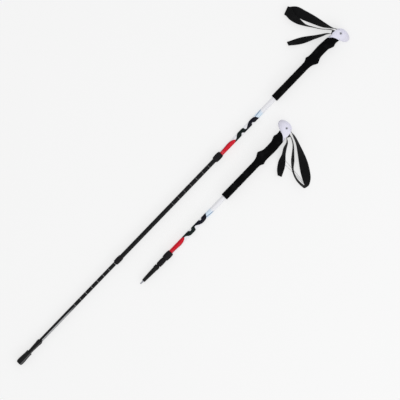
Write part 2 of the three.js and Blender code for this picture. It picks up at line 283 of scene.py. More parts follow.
# %% [markdown]
# ## Foam
# The grip is closed-cell foam: dead black, dry and a little dusty, with skinned-over cells of
# about half a millimetre. Two sizes of cell and a soft noise give the pitted skin. A rubbed,
# greyer tone gathers in patches where a hand holds it.

# %% Foam finish


def foam_finish():
    foam = Finish("grip_foam", Roughness=0.9, Specular_IOR_Level=0.08)
    pores = foam.cells(1500.0)
    pits = foam.cells(3800.0)
    patches = foam.noise(38.0, 4.0)
    rubbed = patches.rising(0.48, 0.72)
    speck = foam.noise(2600.0, 2.0).rising(0.62, 0.78)
    worn = foam.mix(rubbed * 0.5 + speck * 0.3, rgb(3, 3, 4), rgb(20, 20, 22))
    foam.feed("Base Color", worn)
    foam.feed("Roughness", 0.82 + 0.14 * pores - 0.08 * rubbed)
    foam.bump(pores, 0.00018, 0.6)
    foam.bump(pits, 0.00008, 0.5)
    foam.bump(patches, 0.0004, 0.25)
    return foam.material


FOAM = foam_finish()
print("foam nodes", len(FOAM.node_tree.nodes))

# %% [markdown]
# ## Head plastic
# The head is a pale lavender-white moulding with a satin gloss. A moulding always shows a
# fine spark texture, a faint flow of tone, and a thin parting line where the two halves of the
# mould met, which here is the pole's own middle plane. Grime sits low on the nose.

# %% Head finish


def head_finish(pole):
    head = Finish(f"{pole.name}_head_plastic", Coat_Weight=0.25, Coat_Roughness=0.18)
    _, y, z = head.in_pole(pole)
    flow = head.noise(60.0, 3.0, 0.5)
    nose = (0 - y).rising(12.0, 40.0)
    tone = head.mix(flow, rgb(214, 212, 230), rgb(228, 227, 241))
    tone = head.mix(nose * 0.75, tone, rgb(205, 203, 214))
    scuff = head.noise(900.0, 4.0, 0.7, stretch=(1.0, 4.0, 1.0)).rising(0.62, 0.8)
    tone = head.mix(scuff * 0.25, tone, rgb(176, 174, 186))
    seam = 1 - z.only("ABSOLUTE").rising(0.05, 0.22)
    head.feed("Base Color", head.mix(seam * 0.35, tone, rgb(150, 148, 162)))
    head.feed("Roughness", 0.3 + 0.12 * flow + 0.2 * scuff)
    head.bump(head.noise(3200.0, 2.0), 0.00003, 0.5)
    head.bump(seam, 0.0001, -0.7)
    return head.material


HEAD = {pole.name: head_finish(pole) for pole in POLES}
print("head finishes", sorted(HEAD))

# %% [markdown]
# ## Webbing
# The strap is woven polyester. Its weave follows the ribbon, not the world, so it reads a map
# laid on the ribbon in metres: u along it and v across it. Slanted yarns that change hands at
# the middle of each rib make the herringbone, and each edge has a plain bound selvedge.

# %% Webbing finish
YARN = 0.0011
RIB = 0.0045


def webbing_finish():
    web = Finish("webbing", Sheen_Weight=0.04, Sheen_Roughness=0.5, Specular_IOR_Level=0.1)
    u, v, _ = web.parts(web.node("ShaderNodeUVMap", {"uv_map": "weave"}))
    zigzag = (v.wrapped(RIB) - RIB / 2).only("ABSOLUTE")
    yarn = ((u + 0.9 * zigzag) * (2 * math.pi / YARN)).only("SINE")
    pick = (v * (2 * math.pi / (RIB / 5))).only("SINE")
    weave = 0.5 + 0.35 * yarn + 0.15 * pick
    edge = web.node("ShaderNodeAttribute", {"attribute_name": "selvedge"}, output="Fac")
    dust = web.noise(120.0, 4.0).rising(0.45, 0.75)
    fluff = web.noise(5200.0, 2.0, vector=web.node("ShaderNodeUVMap", {"uv_map": "weave"}))
    tone = web.mix(weave, rgb(3, 3, 4), rgb(14, 14, 16))
    tone = web.mix(dust * 0.12 + fluff * 0.06, tone, rgb(40, 40, 42))
    web.feed("Base Color", web.mix(edge * 0.5, tone, rgb(10, 10, 12)))
    web.feed("Roughness", 0.72 + 0.18 * weave)
    web.bump(weave * (1 - 0.6 * edge), 0.00022, 0.9)
    web.bump(fluff, 0.00006, 0.5)
    return web.material


WEBBING = webbing_finish()
print("webbing nodes", len(WEBBING.node_tree.nodes))

# %% [markdown]
# ## The painted upper tube
# The upper tube is sprayed and then printed. From its lower end it is red, and the red sweeps
# off to a point along the front. A black ribbon waves up the tube in two crests. A fine navy
# line leads through a pale blue flash into plain white. The print is the same on both cheeks,
# so it only needs x along the tube and how far round towards the back a point lies, from -1
# to 1. Each printed edge is one curve of that height against x.

# %% Painted finish
UPPER_RADIUS = LONG.span("upper_tube")[2]
RED_EDGE = [
    (-510, 0.6), (-488, 0.72), (-469, 0.85), (-457, 0.53), (-448, -0.26), (-444, -0.8), (-440, -1.2),
]
RED_STOPS = (-445.0, -441.0)
RIBBON_BACK = [
    (-456, -1.2), (-450.4, -0.54), (-442.5, -0.08), (-435.9, 0.58), (-428, 1.0), (-418, 1.05),
    (-411.4, 0.92), (-407.8, 0.6), (-404, -0.3), (-397.8, 0.0), (-388.4, 0.66), (-378.3, 0.98),
    (-368, 0.85), (-362.8, 0.56), (-355.5, -0.77), (-352, -1.2),
]
RIBBON_FRONT = [
    (-456, -1.2), (-432, -1.15), (-426, -0.75), (-421, -0.35), (-416.5, -0.75), (-411, -1.15),
    (-388, -1.15), (-383, -0.8), (-379, -0.42), (-374.5, -0.8), (-369, -1.15), (-352, -1.2),
]
RIBBON_ENDS = (-454.0, -353.5)
INK_CHANGE = (-420.0, -390.0)
NAVY_ENDS = (-362.0, -335.0)
NAVY_HALF = 0.13
BLUE_ENDS = (-361.0, -338.0)
RUBBED_ENDS = (-506.0, -498.0)
PRINT_SOFT = 0.07


def painted_finish(pole):
    paint = Finish(f"{pole.name}_painted_tube", Coat_Roughness=0.1, Specular_IOR_Level=0.12)
    x, y, _ = paint.in_pole(pole)
    back = y / UPPER_RADIUS
    to_edge = paint.curve(x, RED_EDGE) - back
    red = to_edge.rising(-PRINT_SOFT, PRINT_SOFT) * (1 - x.rising(*RED_STOPS))
    red_rim = red * (1 - to_edge.rising(0.1, 0.3))
    ribbon_back = (paint.curve(x, RIBBON_BACK) - back).rising(-PRINT_SOFT, PRINT_SOFT)
    ribbon_front = (back - paint.curve(x, RIBBON_FRONT)).rising(-PRINT_SOFT, PRINT_SOFT)
    black = ribbon_back * ribbon_front * x.between(*RIBBON_ENDS, 0.5)
    to_navy = 0.36 + 0.0165 * (x - BLUE_ENDS[0]) - back
    navy = to_navy.between(-NAVY_HALF, NAVY_HALF, 0.06) * x.between(*NAVY_ENDS, 3.0)
    blue = x.between(*BLUE_ENDS, 6.0)
    flake = paint.noise(4200.0, 1.0)
    body = paint.mix(flake * 0.3, rgb(230, 230, 234), rgb(221, 221, 227))
    body = paint.mix(blue * 0.7, body, rgb(196, 220, 240))
    body = paint.mix(navy * 0.8, body, rgb(62, 96, 140))
    crimson = paint.mix(flake, rgb(188, 10, 34), rgb(208, 20, 42))
    crimson = paint.mix(red_rim * 0.6, crimson, rgb(120, 10, 30))
    body = paint.mix(red, body, crimson)
    ink = paint.mix(x.rising(*INK_CHANGE), rgb(2, 18, 15), rgb(4, 5, 22))
    body = paint.mix(black, body, ink)
    scratch = paint.noise(700.0, 5.0, 0.75, stretch=(0.12, 1.0, 1.0)).rising(0.66, 0.78)
    rubbed = x.between(*RUBBED_ENDS, 4.0) * paint.noise(420.0, 4.0).rising(0.5, 0.62)
    body = paint.mix(scratch * 0.1 + rubbed * 0.3, body, rgb(150, 150, 154))
    paint.feed("Base Color", body)
    paint.feed("Roughness", 0.26 + 0.25 * scratch + 0.05 * flake)
    paint.feed("Metallic", red * (1 - black) * 0.2)
    paint.feed("Coat Weight", 0.3 * (1 - black) * (1 - red * 0.7))
    paint.bump(paint.noise(900.0, 2.0), 0.00002, 0.35)
    paint.bump(scratch, 0.00001, -0.5)
    return paint.material


PAINTED = {pole.name: painted_finish(pole) for pole in POLES}
print("upper tube radius", round(UPPER_RADIUS, 2), "mm")

# %% [markdown]
# ## Black anodised tube
# The two thinner tubes are drawn aluminium, dyed black. Drawing leaves fine lines along the
# tube. Light rings are printed round the tube every 25 mm or so to set the length by, counted
# down from the tube's top end so that they stay with the tube. The lower tube also gets a
# painted reflection of the front light: a long silver streak on the side that faces it, given
# in mm from the tube's lower end and in radians round it, which fades out where the rings start.

# %% Anodised finish
# Where the painted reflection of the front light starts, fades and lies round the lower tube.
REFLECTION_RISE = (33.0, 37.0)
REFLECTION_FADE = (125.0, 185.0)
REFLECTION_ROUND = (0.3, 1.02)
TUBE_METAL = 0.45


def anodised_finish(pole, level, rings, ring_width, ring_tone):
    tube = Finish(f"{pole.name}_{level}_anodised", Specular_IOR_Level=0.2)
    low, top, _ = pole.span(f"{level}_tube")
    x, y, z = tube.in_pole(pole)
    down = top - x
    first, spacing, count = rings
    last = first + spacing * (count - 1)
    step = ((down - (first - spacing / 2)).wrapped(spacing) - spacing / 2).only("ABSOLUTE")
    ring = 1 - step.rising(ring_width * 0.4, ring_width * 0.6)
    ring = ring * down.between(first - spacing / 3, last + spacing / 3, 0.5)
    drawn = tube.noise(900.0, 3.0, 0.6, stretch=(0.02, 1.0, 1.0))
    dust = tube.noise(90.0, 4.0).rising(0.5, 0.8)
    scratch = tube.noise(520.0, 5.0, 0.8, stretch=(0.1, 1.0, 1.0)).rising(0.68, 0.8)
    tone = tube.mix(drawn, rgb(8, 8, 10), rgb(22, 22, 24))
    tone = tube.mix(dust * 0.12 + scratch * 0.2, tone, rgb(60, 60, 64))
    metal = TUBE_METAL
    if level == "lower":
        # Painted reflection: a silver streak on the side of the tube that faces the front light.
        turn = tube.node("ShaderNodeMath", {"operation": "ARCTAN2"}, {0: 0 - y * pole.side, 1: z})
        fade = (x - low).rising(*REFLECTION_RISE) * (1 - (x - low).rising(*REFLECTION_FADE))
        painted_reflection = turn.between(*REFLECTION_ROUND, 0.12) * fade
        grain = tube.noise(1500.0, 2.0, 0.5, stretch=(0.3, 1.0, 1.0))
        tone = tube.mix(painted_reflection, tone, tube.mix(grain, rgb(150, 151, 154), rgb(186, 187, 190)))
        metal = TUBE_METAL - painted_reflection * 0.3
    tone = tube.mix(ring, tone, rgb(ring_tone, ring_tone, ring_tone))
    tube.feed("Base Color", tone)
    tube.feed("Metallic", metal * (1 - ring))
    tube.feed("Roughness", 0.36 + 0.12 * drawn + 0.15 * dust)
    tube.bump(drawn, 0.00001, 0.6)
    tube.bump(ring, 0.00003, 0.6)
    return tube.material


MIDDLE_RINGS = (96.7, 25.05, 7)
LOWER_RINGS = (72.9, 23.8, 8)
MIDDLE = {pole.name: anodised_finish(pole, "middle", MIDDLE_RINGS, 0.9, 112) for pole in POLES}
LOWER = {pole.name: anodised_finish(pole, "lower", LOWER_RINGS, 1.0, 150) for pole in POLES}
print("anodised finishes", len(MIDDLE) + len(LOWER))

# %% [markdown]
# ## Moulded black plastic, rubber and metal
# The collars, the flex tip and the wedge are glass-filled nylon with a spark-eroded skin. The
# foot is filled rubber with a pale bloom. It and the flex tip carry a painted highlight along
# one shoulder, on the side that faces the front light. The fasteners are zinc plated steel, the
# cones are turned brass, and the expanders are grey acetal. The same recipe fits them all, each
# with its own tone, grain and gloss, so one function makes them.

# %% Moulded and metal finishes
# Angles round the tube, from the top towards the front, where the painted highlight lies.
LIT_SHOULDER = (0.5, 0.8)


def grained_finish(
    name, dark, light, rough, grain, depth, metal=0.0, turned_lines=0.0, dark_within=0.0, worn=0.0,
    **constants,
):
    """dark_within paints shade into a fastener's socket, out to that radius in mm from its axis. worn
    is how strongly a painted highlight lightens the front shoulder of a long pole's piece."""
    made = Finish(name, Metallic=metal, **constants)
    skin = made.noise(grain, 3.0)
    bloom = made.noise(70.0, 4.0).rising(0.42, 0.72)
    scuff = made.noise(650.0, 5.0, 0.75).rising(0.64, 0.8)
    tone = made.mix(skin * 0.5 + bloom * 0.5, rgb(*dark), rgb(*light))
    tone = made.mix(scuff * 0.3, tone, rgb(*[min(255, c + 40) for c in light]))
    # Painted highlight: the front shoulder of the long pole's pieces is lightened on the side that faces the
    # front light.
    if worn:
        _, y, z = made.in_pole(LONG)
        turn = made.node("ShaderNodeMath", {"operation": "ARCTAN2"}, {0: 0 - y, 1: z})
        rubbed = turn.between(*LIT_SHOULDER, 0.12) * (0.7 + 0.3 * skin)
        tone = made.mix(rubbed * worn, tone, rgb(128, 128, 130))
    # Painted shade: the fastener's hex socket is coloured near black and loses its metal, as shade in the
    # recess.
    if dark_within:
        hole = 0.0
        for pole in POLES:
            x, y, _ = made.in_pole(pole)
            away = ((x - PIN[0]).power(2.0) + (y - PIN[1]).power(2.0)).power(0.5)
            hole = 1 - away.rising(dark_within - 0.1, dark_within + 0.1) + hole
        tone = made.mix(hole, tone, rgb(6, 6, 8))
        made.feed("Metallic", metal * (1 - hole))
    made.feed("Base Color", tone)
    made.feed("Roughness", rough + 0.14 * skin - 0.08 * bloom + 0.12 * scuff)
    made.bump(skin, depth, 0.7)
    if turned_lines:
        x, _, _ = made.parts(made.place())
        made.bump((x * turned_lines).only("SINE"), 0.00001, 0.5)
    return made.material


DULL = {"Specular_IOR_Level": 0.15}
COLLAR = grained_finish("collar_plastic", (6, 3, 7), (17, 13, 19), 0.42, 2400.0, 0.00004, **DULL)
# The flex tip and the foot get a painted highlight on the shoulder that faces the front light.
FERRULE = grained_finish(
    "ferrule_plastic", (10, 10, 11), (26, 26, 28), 0.5, 2000.0, 0.00005, worn=0.4, **DULL
)
WEDGE = grained_finish("wedge_plastic", (10, 10, 12), (24, 24, 28), 0.5, 2200.0, 0.00004, **DULL)
ACETAL = grained_finish("expander_plastic", (128, 128, 132), (158, 158, 160), 0.45, 1800.0, 0.00004)
RUBBER = grained_finish("foot_rubber", (8, 8, 9), (26, 26, 28), 0.45, 1500.0, 0.00006, worn=0.6, **DULL)
BRASS = grained_finish("cone_brass", (176, 138, 72), (206, 170, 96), 0.28, 900.0, 0.00001, 1.0, 9000.0)
STEEL = grained_finish("fastener_steel", (128, 130, 138), (176, 178, 184), 0.26, 1200.0, 0.00001, 1.0, 8000.0)
THREAD = grained_finish("thread", (16, 16, 18), (38, 38, 42), 0.7, 3000.0, 0.00004, **DULL)
print("moulded and metal finishes ready")

# %% [markdown]
# ## From points to pieces
# Most of a pole is turned about its axis, so a profile of x and radius makes it. Corners on a
# real moulding are never sharp, so eased() swaps each corner for a short arc first. piece()
# puts any mesh into place, turns its faces outward, and gives it its finish and body.

# %% Mesh helpers
ON_AXIS = 1e-6
ALL_SMOOTH = 60.0


def eased(profile, radius, steps=3):
    """A closed profile with each corner rounded. A point may carry its own radius as a third number."""
    rounded = []
    count = len(profile)
    for k, corner in enumerate(profile):
        own = corner[2] if len(corner) > 2 else radius
        here = Vector(corner[:2])
        before = Vector(profile[k - 1][:2]) - here
        after = Vector(profile[(k + 1) % count][:2]) - here
        reach = min(own, before.length * 0.45, after.length * 0.45)
        if reach < 1e-4 or here.y <= ON_AXIS:
            rounded.append(tuple(here))
            continue
        start = here + before.normalized() * reach
        end = here + after.normalized() * reach
        for i in range(steps + 1):
            t = i / steps
            point = start * (1 - t) ** 2 + here * 2 * t * (1 - t) + end * t ** 2
            rounded.append(tuple(point))
    return rounded


def numbered(count, sides):
    """The point numbers of count rings, with as many points in each as sides."""
    return [list(range(r * sides, (r + 1) * sides)) for r in range(count)]


def joined(rings, closed=False):
    """Faces between each ring of point numbers and the next. A ring may be a single point."""
    faces = []
    for a, b in zip(rings, rings[1:] + (rings[:1] if closed else [])):
        for k in range(max(len(a), len(b))):
            corners = [a[k % len(a)], a[(k + 1) % len(a)], b[(k + 1) % len(b)], b[k % len(b)]]
            corners = list(dict.fromkeys(corners))
            if len(corners) > 2:
                faces.append(corners)
    return faces


def turned(profile, sides=96):
    """Vertices and faces of a profile of (x, radius) turned about the pole's axis."""
    points, rings = [], []
    for x, r in profile:
        if r <= ON_AXIS:
            rings.append([len(points)])
            points.append((x, 0.0, 0.0))
            continue
        rings.append(list(range(len(points), len(points) + sides)))
        for k in range(sides):
            a = 2 * math.pi * k / sides
            points.append((x, r * math.sin(a), r * math.cos(a)))
    return points, joined(rings, profile[0][1] > ON_AXIS)


def mesh_of(name, points, faces):
    mesh = bpy.data.meshes.new(name)
    mesh.from_pydata([tuple(p) for p in points], [], faces)
    return mesh


def outward(mesh):
    """Merges doubles and turns every face of a closed mesh to point out."""
    work = bmesh.new()
    work.from_mesh(mesh)
    bmesh.ops.remove_doubles(work, verts=work.verts, dist=1e-7)
    bmesh.ops.recalc_face_normals(work, faces=work.faces)
    work.to_mesh(mesh)
    work.free()


def piece(pole, name, mesh, finish, body, node=None, sharp=35.0):
    """Places a mesh made in a pole's frame, and gives it its finish and body. Edges that
    turn by more than sharp degrees stay crisp."""
    mesh.transform(pole.matrix)
    outward(mesh)
    mesh.materials.clear()
    mesh.materials.append(finish)
    mesh.shade_smooth()
    mesh.set_sharp_from_angle(angle=math.radians(sharp))
    made = bpy.data.objects.new(f"{pole.name}_{name}", mesh)
    scene.collection.objects.link(made)
    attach(made, pole.body(body))
    if node:
        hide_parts(f"{pole.name}_{node}")
    return made


def turned_piece(pole, name, profile, finish, body, node=None, ease=0.3):
    points, faces = turned(eased(profile, ease))
    return piece(pole, name, mesh_of(name, points, faces), finish, body, node)


print("helpers ready")

# %% [markdown]
# ## The handle's outline
# Grip and head are one smooth shape, cut apart along a slanted line. The shape is strung on
# stations along the pole, each with its back, its front and its half thickness, and a smooth
# curve runs through the stations. The section is a circle squared off a little, to sit in a
# hand.

# %% Handle stations
HANDLE = -LONG.span("foam_grip")[0]
FOAM_R = 10.9
GROOVES = (-237.0, -199.0, -161.0)
STATIONS = [
    (-152, 10.9, -11, 11.2), (-143, 12.8, -12.4, 12.4), (-136, 16.5, -14.6, 13.4),
    (-130, 14.6, -18.2, 14), (-124, 13.6, -20.9, 14.4), (-117, 13.4, -18.4, 14.6),
    (-108, 13.7, -14.6, 14.8), (-96, 14.3, -13.6, 15), (-84, 14.4, -13.6, 15),
    (-72, 13.8, -14.4, 14.8), (-63, 13, -18, 14.6), (-56, 12.4, -20, 14.5),
    (-49, 11.6, -17.6, 14.4), (-42, 10.8, -17.4, 14.3), (-36, 13.5, -18.4, 14.3),
    (-32, 15.5, -20.5, 14.4), (-29, 16.8, -28, 14.5), (-25, 16.8, -34, 14.5),
    (-20, 16.6, -37.5, 14.5), (-14, 15.2, -38.4, 14.3), (-9, 6.4, -36.6, 13.4), (-5, 2.8, -32.5, 11.6),
    (-2, -2, -26.5, 8.8), (0, -7, -20, 5.5),
]
SQUARED = 0.86
table = np.array([(-HANDLE, FOAM_R, -FOAM_R, FOAM_R), (-158, FOAM_R, -FOAM_R, FOAM_R)] + STATIONS, float)
slopes = np.gradient(table[:, 1:], table[:, 0], axis=0)
slopes[:2] = 0.0


def outline(x):
    """(back, front, half thickness) of the handle at x, on a smooth curve through the stations."""
    x = float(np.clip(x, table[0, 0], table[-1, 0]))
    k = min(int(np.searchsorted(table[:, 0], x, "right")) - 1, len(table) - 2)
    step = table[k + 1, 0] - table[k, 0]
    t = (x - table[k, 0]) / step
    start = (1 + 2 * t) * (1 - t) ** 2 * table[k, 1:] + t * (1 - t) ** 2 * step * slopes[k]
    end = t * t * (3 - 2 * t) * table[k + 1, 1:] + t * t * (t - 1) * step * slopes[k + 1]
    return start + end


def squared(value):
    return math.copysign(abs(value) ** SQUARED, value)


def on_handle(x, angle, inset=0.0):
    """A point of the handle's skin, moved in by inset."""
    back, front, half = outline(x)
    y = (back + front) / 2 + squared(math.sin(angle)) * ((back - front) / 2 - inset)
    return y, squared(math.cos(angle)) * (half - inset)


print("handle", round(HANDLE, 1), "mm long")

# %% [markdown]
# ## The line between grip and head
# Seen from the side the white head runs down the back of the grip in a tongue. Two short
# curves give that line as x for each y. The grip stops a hair short of it.

# %% Dividing line


def bend(start, middle, end, steps=12):
    """Points of a quadratic curve."""
    out = []
    for k in range(steps + 1):
        t = k / steps
        near, mid, far = (1 - t) ** 2, 2 * t * (1 - t), t * t
        out.append([near * s + mid * m + far * e for s, m, e in zip(start, middle, end)])
    return out


DIVIDE = [
    (-52.0, 40.0), *bend((-52, 13), (-48, 7.5), (-42, 2)),
    *bend((-42, 2), (-35, -6), (-33, -24))[1:], (-33.0, -60.0),
]
GRIP_GAP = 0.45
divide_y = np.array([p[1] for p in DIVIDE])[::-1]
divide_x = np.array([p[0] for p in DIVIDE])[::-1]


def divide_at(y):
    return float(np.interp(y, divide_y, divide_x))


def grip_end(angle, gap):
    """Where the skin at an angle round the handle meets the dividing line, found by halving."""
    low, high = -60.0, -25.0
    for _ in range(30):
        x = (low + high) / 2
        if x - divide_at(on_handle(x, angle)[0]) + gap > 0:
            high = x
        else:
            low = x
    return low


grip_ends = [round(grip_end(angle, GRIP_GAP), 1) for angle in (math.pi / 2, -math.pi / 2)]
print("grip ends from", grip_ends[0], "to", grip_ends[1])

# %% [markdown]
# ## The foam grip
# The grip is one skin from the bottom ring to the slanted end, with three narrow grooves cut
# round its lower half. Rows of points are set close together at the grooves and at both ends,
# where the edge is rounded. A second skin lines the bore that the tube runs through.

# %% Foam grip
GROOVE_DEPTH = 0.8
GROOVE_SPREAD = 1.045
BORE_GAP = 0.3
EDGE = 1.0


def groove_depth(x):
    return sum(GROOVE_DEPTH * math.exp(-((x - groove) / GROOVE_SPREAD) ** 2) for groove in GROOVES)


def grip_rows():
    rows = set(np.arange(-HANDLE + EDGE, -60.0, 2.2).round(2))
    for groove in GROOVES:
        rows |= set(np.arange(groove - 4.0, groove + 4.01, 0.4).round(2))
    return sorted(rows)


def grip_mesh():
    sides = 96
    bore = UPPER_RADIUS + BORE_GAP
    angles = [2 * math.pi * k / sides for k in range(sides)]
    rings = []
    for k in range(5):
        turn = math.pi / 2 * k / 4
        inset = EDGE * (1 - math.sin(turn))
        x = -HANDLE + EDGE * (1 - math.cos(turn))
        rings.append([(x, *on_handle(x, a, inset)) for a in angles])
    for x in grip_rows()[1:]:
        rings.append([(x, *on_handle(x, a, groove_depth(x))) for a in angles])
    start = rings[-1][0][0]
    ends = [grip_end(a, GRIP_GAP) for a in angles]
    steps = 16
    for k in range(1, steps + 1):
        row = []
        for a, end in zip(angles, ends):
            x = start + (end - EDGE - start) * k / steps
            row.append((x, *on_handle(x, a)))
        rings.append(row)
    for k in range(1, 5):
        turn = math.pi / 2 * k / 4
        inset = EDGE * (1 - math.cos(turn))
        row = []
        for a, end in zip(angles, ends):
            x = end - EDGE + EDGE * math.sin(turn)
            row.append((x, *on_handle(x, a, inset)))
        rings.append(row)
    lining = [(bore * math.sin(a), bore * math.cos(a)) for a in angles]
    rings.append([(divide_at(y) - GRIP_GAP, y, z) for y, z in lining])
    rings.append([(-HANDLE, y, z) for y, z in lining])
    points = [p for ring in rings for p in ring]
    return mesh_of("foam_grip", points, joined(numbered(len(rings), sides), True))


for pole in POLES:
    grip = piece(pole, "foam_grip_skin", grip_mesh(), FOAM, "handle_section", "foam_grip")
    print(grip.name, len(grip.data.polygons), "faces")

# %% [markdown]
# ## The head
# The head is the rest of the handle's shape, with a bore for the tube, a slot for the strap
# and a cross hole with a shallow pocket in each cheek for the fastener. Cutting is exact but
# leaves knife edges, which no moulding has. A fine voxel remesh rebuilds the cut solid as
# one even skin, and a little smoothing rounds every edge by the same small radius.

# %% Head shell
PIN = (-16.0, -8.0)
PIN_R = 2.5
PIN_HEAD_R = 3.8
EYE_R = 5.6
SLOT_HALF = 10.6
CHEEK = 12.6
SLOT = [(-36, -7), (-10.5, -7), (-10.5, 40), (-42, 40), (-42, 12.5), (-36, 6)]
TUBE_TOP = LONG.span("upper_tube")[1]
VOXEL = 0.5


def temporary(name, points, faces):
    mesh = mesh_of(name, points, faces)
    outward(mesh)
    made = bpy.data.objects.new(name, mesh)
    scene.collection.objects.link(made)
    return made


def prism(name, shape, low, high):
    """An outline in x and y, given a thickness from low to high along z."""
    count = len(shape)
    points = [(x, y, low) for x, y in shape] + [(x, y, high) for x, y in shape]
    faces = [tuple(range(count))[::-1], tuple(range(count, 2 * count))]
    faces += [(k, (k + 1) % count, (k + 1) % count + count, k + count) for k in range(count)]
    return temporary(name, points, faces)


def circle(x, y, r, sides=40):
    turns = [2 * math.pi * k / sides for k in range(sides)]
    return [(x + r * math.cos(a), y + r * math.sin(a)) for a in turns]


def finished(made):
    """The evaluated mesh of a temporary object, which is then removed."""
    graph = bpy.context.evaluated_depsgraph_get()
    mesh = bpy.data.meshes.new_from_object(made.evaluated_get(graph))
    bpy.data.objects.remove(made)
    return mesh


def cut(body, tools, operation="DIFFERENCE"):
    for tool in tools:
        knife = body.modifiers.new("cut", "BOOLEAN")
        knife.operation = operation
        knife.solver = "EXACT"
        knife.object = tool


def head_mesh():
    sides = 72
    xs = [*np.arange(-64, -34, 1.5), *np.arange(-34, -8, 0.5), *np.arange(-8, 0.01, 0.4)]
    points = [(x, *on_handle(x, 2 * math.pi * k / sides)) for x in xs for k in range(sides)]
    rings = numbered(len(xs), sides)
    body = temporary("head", points, [rings[0], rings[-1][::-1], *joined(rings)])
    far = [(20.0, -60.0), (20.0, 40.0)]
    region = prism("region", [*DIVIDE, *far], -40, 40)
    bore_r, bore_top = UPPER_RADIUS + BORE_GAP, TUBE_TOP + BORE_GAP
    tools = [
        temporary("bore", *turned([(-90, 0), (-90, bore_r), (bore_top, bore_r), (bore_top, 0)])),
        prism("slot", SLOT, -SLOT_HALF, SLOT_HALF),
        prism("eye", circle(*PIN, EYE_R), -SLOT_HALF, SLOT_HALF),
        prism("pin_hole", circle(*PIN, PIN_R + BORE_GAP), -30, 30),
        prism("upper_pocket", circle(*PIN, PIN_HEAD_R + BORE_GAP), CHEEK, 30),
        prism("lower_pocket", circle(*PIN, PIN_HEAD_R + BORE_GAP), -30, -CHEEK),
    ]
    cut(body, [region], "INTERSECT")
    cut(body, tools)
    mesh = finished(body)
    for tool in [region, *tools]:
        bpy.data.objects.remove(tool)
    body = bpy.data.objects.new("head", mesh)
    scene.collection.objects.link(body)
    skin = body.modifiers.new("skin", "REMESH")
    skin.mode = "VOXEL"
    skin.voxel_size = VOXEL
    soften = body.modifiers.new("soften", "SMOOTH")
    soften.factor = 0.5
    soften.iterations = 5
    return finished(body)


head_skin = head_mesh()
for pole in POLES:
    head = piece(
        pole, "head_moulding", head_skin.copy(), HEAD[pole.name], "handle_section",
        "head_shell", ALL_SMOOTH,
    )
    print(head.name, len(head.data.polygons), "faces")

# %% [markdown]
# ## The fastener through the head
# A screw from one cheek meets a barrel nut from the other. Both have a low domed head with a
# hexagon socket. The socket is a ring of points set on a hexagon instead of a circle, so the
# head stays one turned shape. Like the head's cross hole, both run along the pole's z.

# %% Screw and barrel nut
SOCKET = 1.9


def domed_head(inner, side, shank_r, shank_to):
    """A turned fastener across the head. side is 1 with its head at the upper cheek."""
    profile = [
        (12.4, 0.0, 1), (12.4, SOCKET, 1), (13.75, SOCKET, 1), (13.95, SOCKET + 0.35, 0),
        (13.75, 2.9, 0), (13.3, 3.6, 0), (13.0, PIN_HEAD_R, 0), (12.9, PIN_HEAD_R, 0), (12.9, shank_r, 0),
        (shank_to, shank_r, 0),
    ]
    if inner:
        profile += [(shank_to, inner, 0), (shank_to + 12, inner, 0), (shank_to + 12, 0.0, 0)]
    else:
        profile += [(shank_to, 0.0, 0)]
    sides = 48
    points, rings = [], []
    for z, r, hexagon in profile:
        ring = []
        for k in range(sides if r > 0 else 1):
            a = 2 * math.pi * k / sides
            reach = r / math.cos((a % (math.pi / 3)) - math.pi / 6) if hexagon else r
            ring.append(len(points))
            points.append((PIN[0] + reach * math.cos(a), PIN[1] + reach * math.sin(a), side * z))
        rings.append(ring)
    return mesh_of("fastener", points, joined(rings))


# The hex socket of each fastener head gets painted shade.
ZINC = grained_finish(
    "fastener_zinc", (188, 188, 196), (214, 214, 222), 0.3, 1200.0, 0.00001, 0.6, 8000.0,
    dark_within=SOCKET + 0.05,
)
for pole in POLES:
    screw = domed_head(0, pole.side, 1.5, 0.2)
    nut = domed_head(1.8, -pole.side, PIN_R, -11.6)
    piece(pole, "strap_screw_steel", screw, ZINC, "handle_section", "strap_screw")
    piece(pole, "strap_nut_steel", nut, ZINC, "handle_section", "strap_barrel_nut")
print("fasteners made")

# %% [markdown]
# ## The wrist strap
# The strap is one length of webbing. It is looped round the fastener, leaves the slot as the
# wide wrist band, comes back to the slot, turns round the wedge and ends as a loose tail. It
# leaves the slot on its edge and then falls flat on the floor, so each row of its route
# carries its lean, 90 on edge and near 0 flat, and its width. On the long pole the band folds
# back over itself, and there the lean runs on past 90, and a lean of 0 marks the fold. The
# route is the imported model's. A flat strap is laid directly: a cloth simulation would lose its crisp edges.

# %% Strap route
WEBBING_THICK = 1.6
BAND_THICK = 1.9
PACKED_HALF = 0.9
PIN_CLEAR = 0.5
NARROW = 20.0
STRAP_REST = 0.7
FOLD_R = 5.5
WEDGE_X, WEDGE_Y, WEDGE_TURN, WEDGE_TILT = -24.7, 2.0, 5.5, math.radians(25)
WEDGE_LEG = 9
STRAP_LOOP = {
    "long": [
        (-21.5, 22, 77, 20), (-31, 44, 42, 22), (-41, 76.5, 20, 26), (-51.5, 108.5, 5, 28.5),
        (-58.5, 130.5, 3, 28.5), (-75, 147, 0, 26.5), (-78, 126, 163, 24), (-74.5, 102, 146, 20.5),
        (-68.5, 82, 110, 20), (-57.5, 62.5, 98, 20), (-44, 40.5, 95, 20), (-27.5, 21, 91, 20),
    ],
    "short": [
        (-18, 25, 72, 20), (-25, 44, 64, 21.5), (-37.5, 68, 44, 24.5), (-52.5, 94, 20, 27),
        (-67, 116, 9, 28), (-80, 134, 17, 26), (-93.5, 145.5, 44, 22), (-100.5, 146.5, 62, 20),
        (-103, 138.5, 72, 20), (-102.5, 119, 76, 20), (-98, 103.5, 79, 20), (-89, 87.5, 78, 20),
        (-71, 70, 62, 20), (-57.5, 58, 70, 20), (-37, 39, 84, 20), (-27.5, 24, 88, 20),
    ],
}
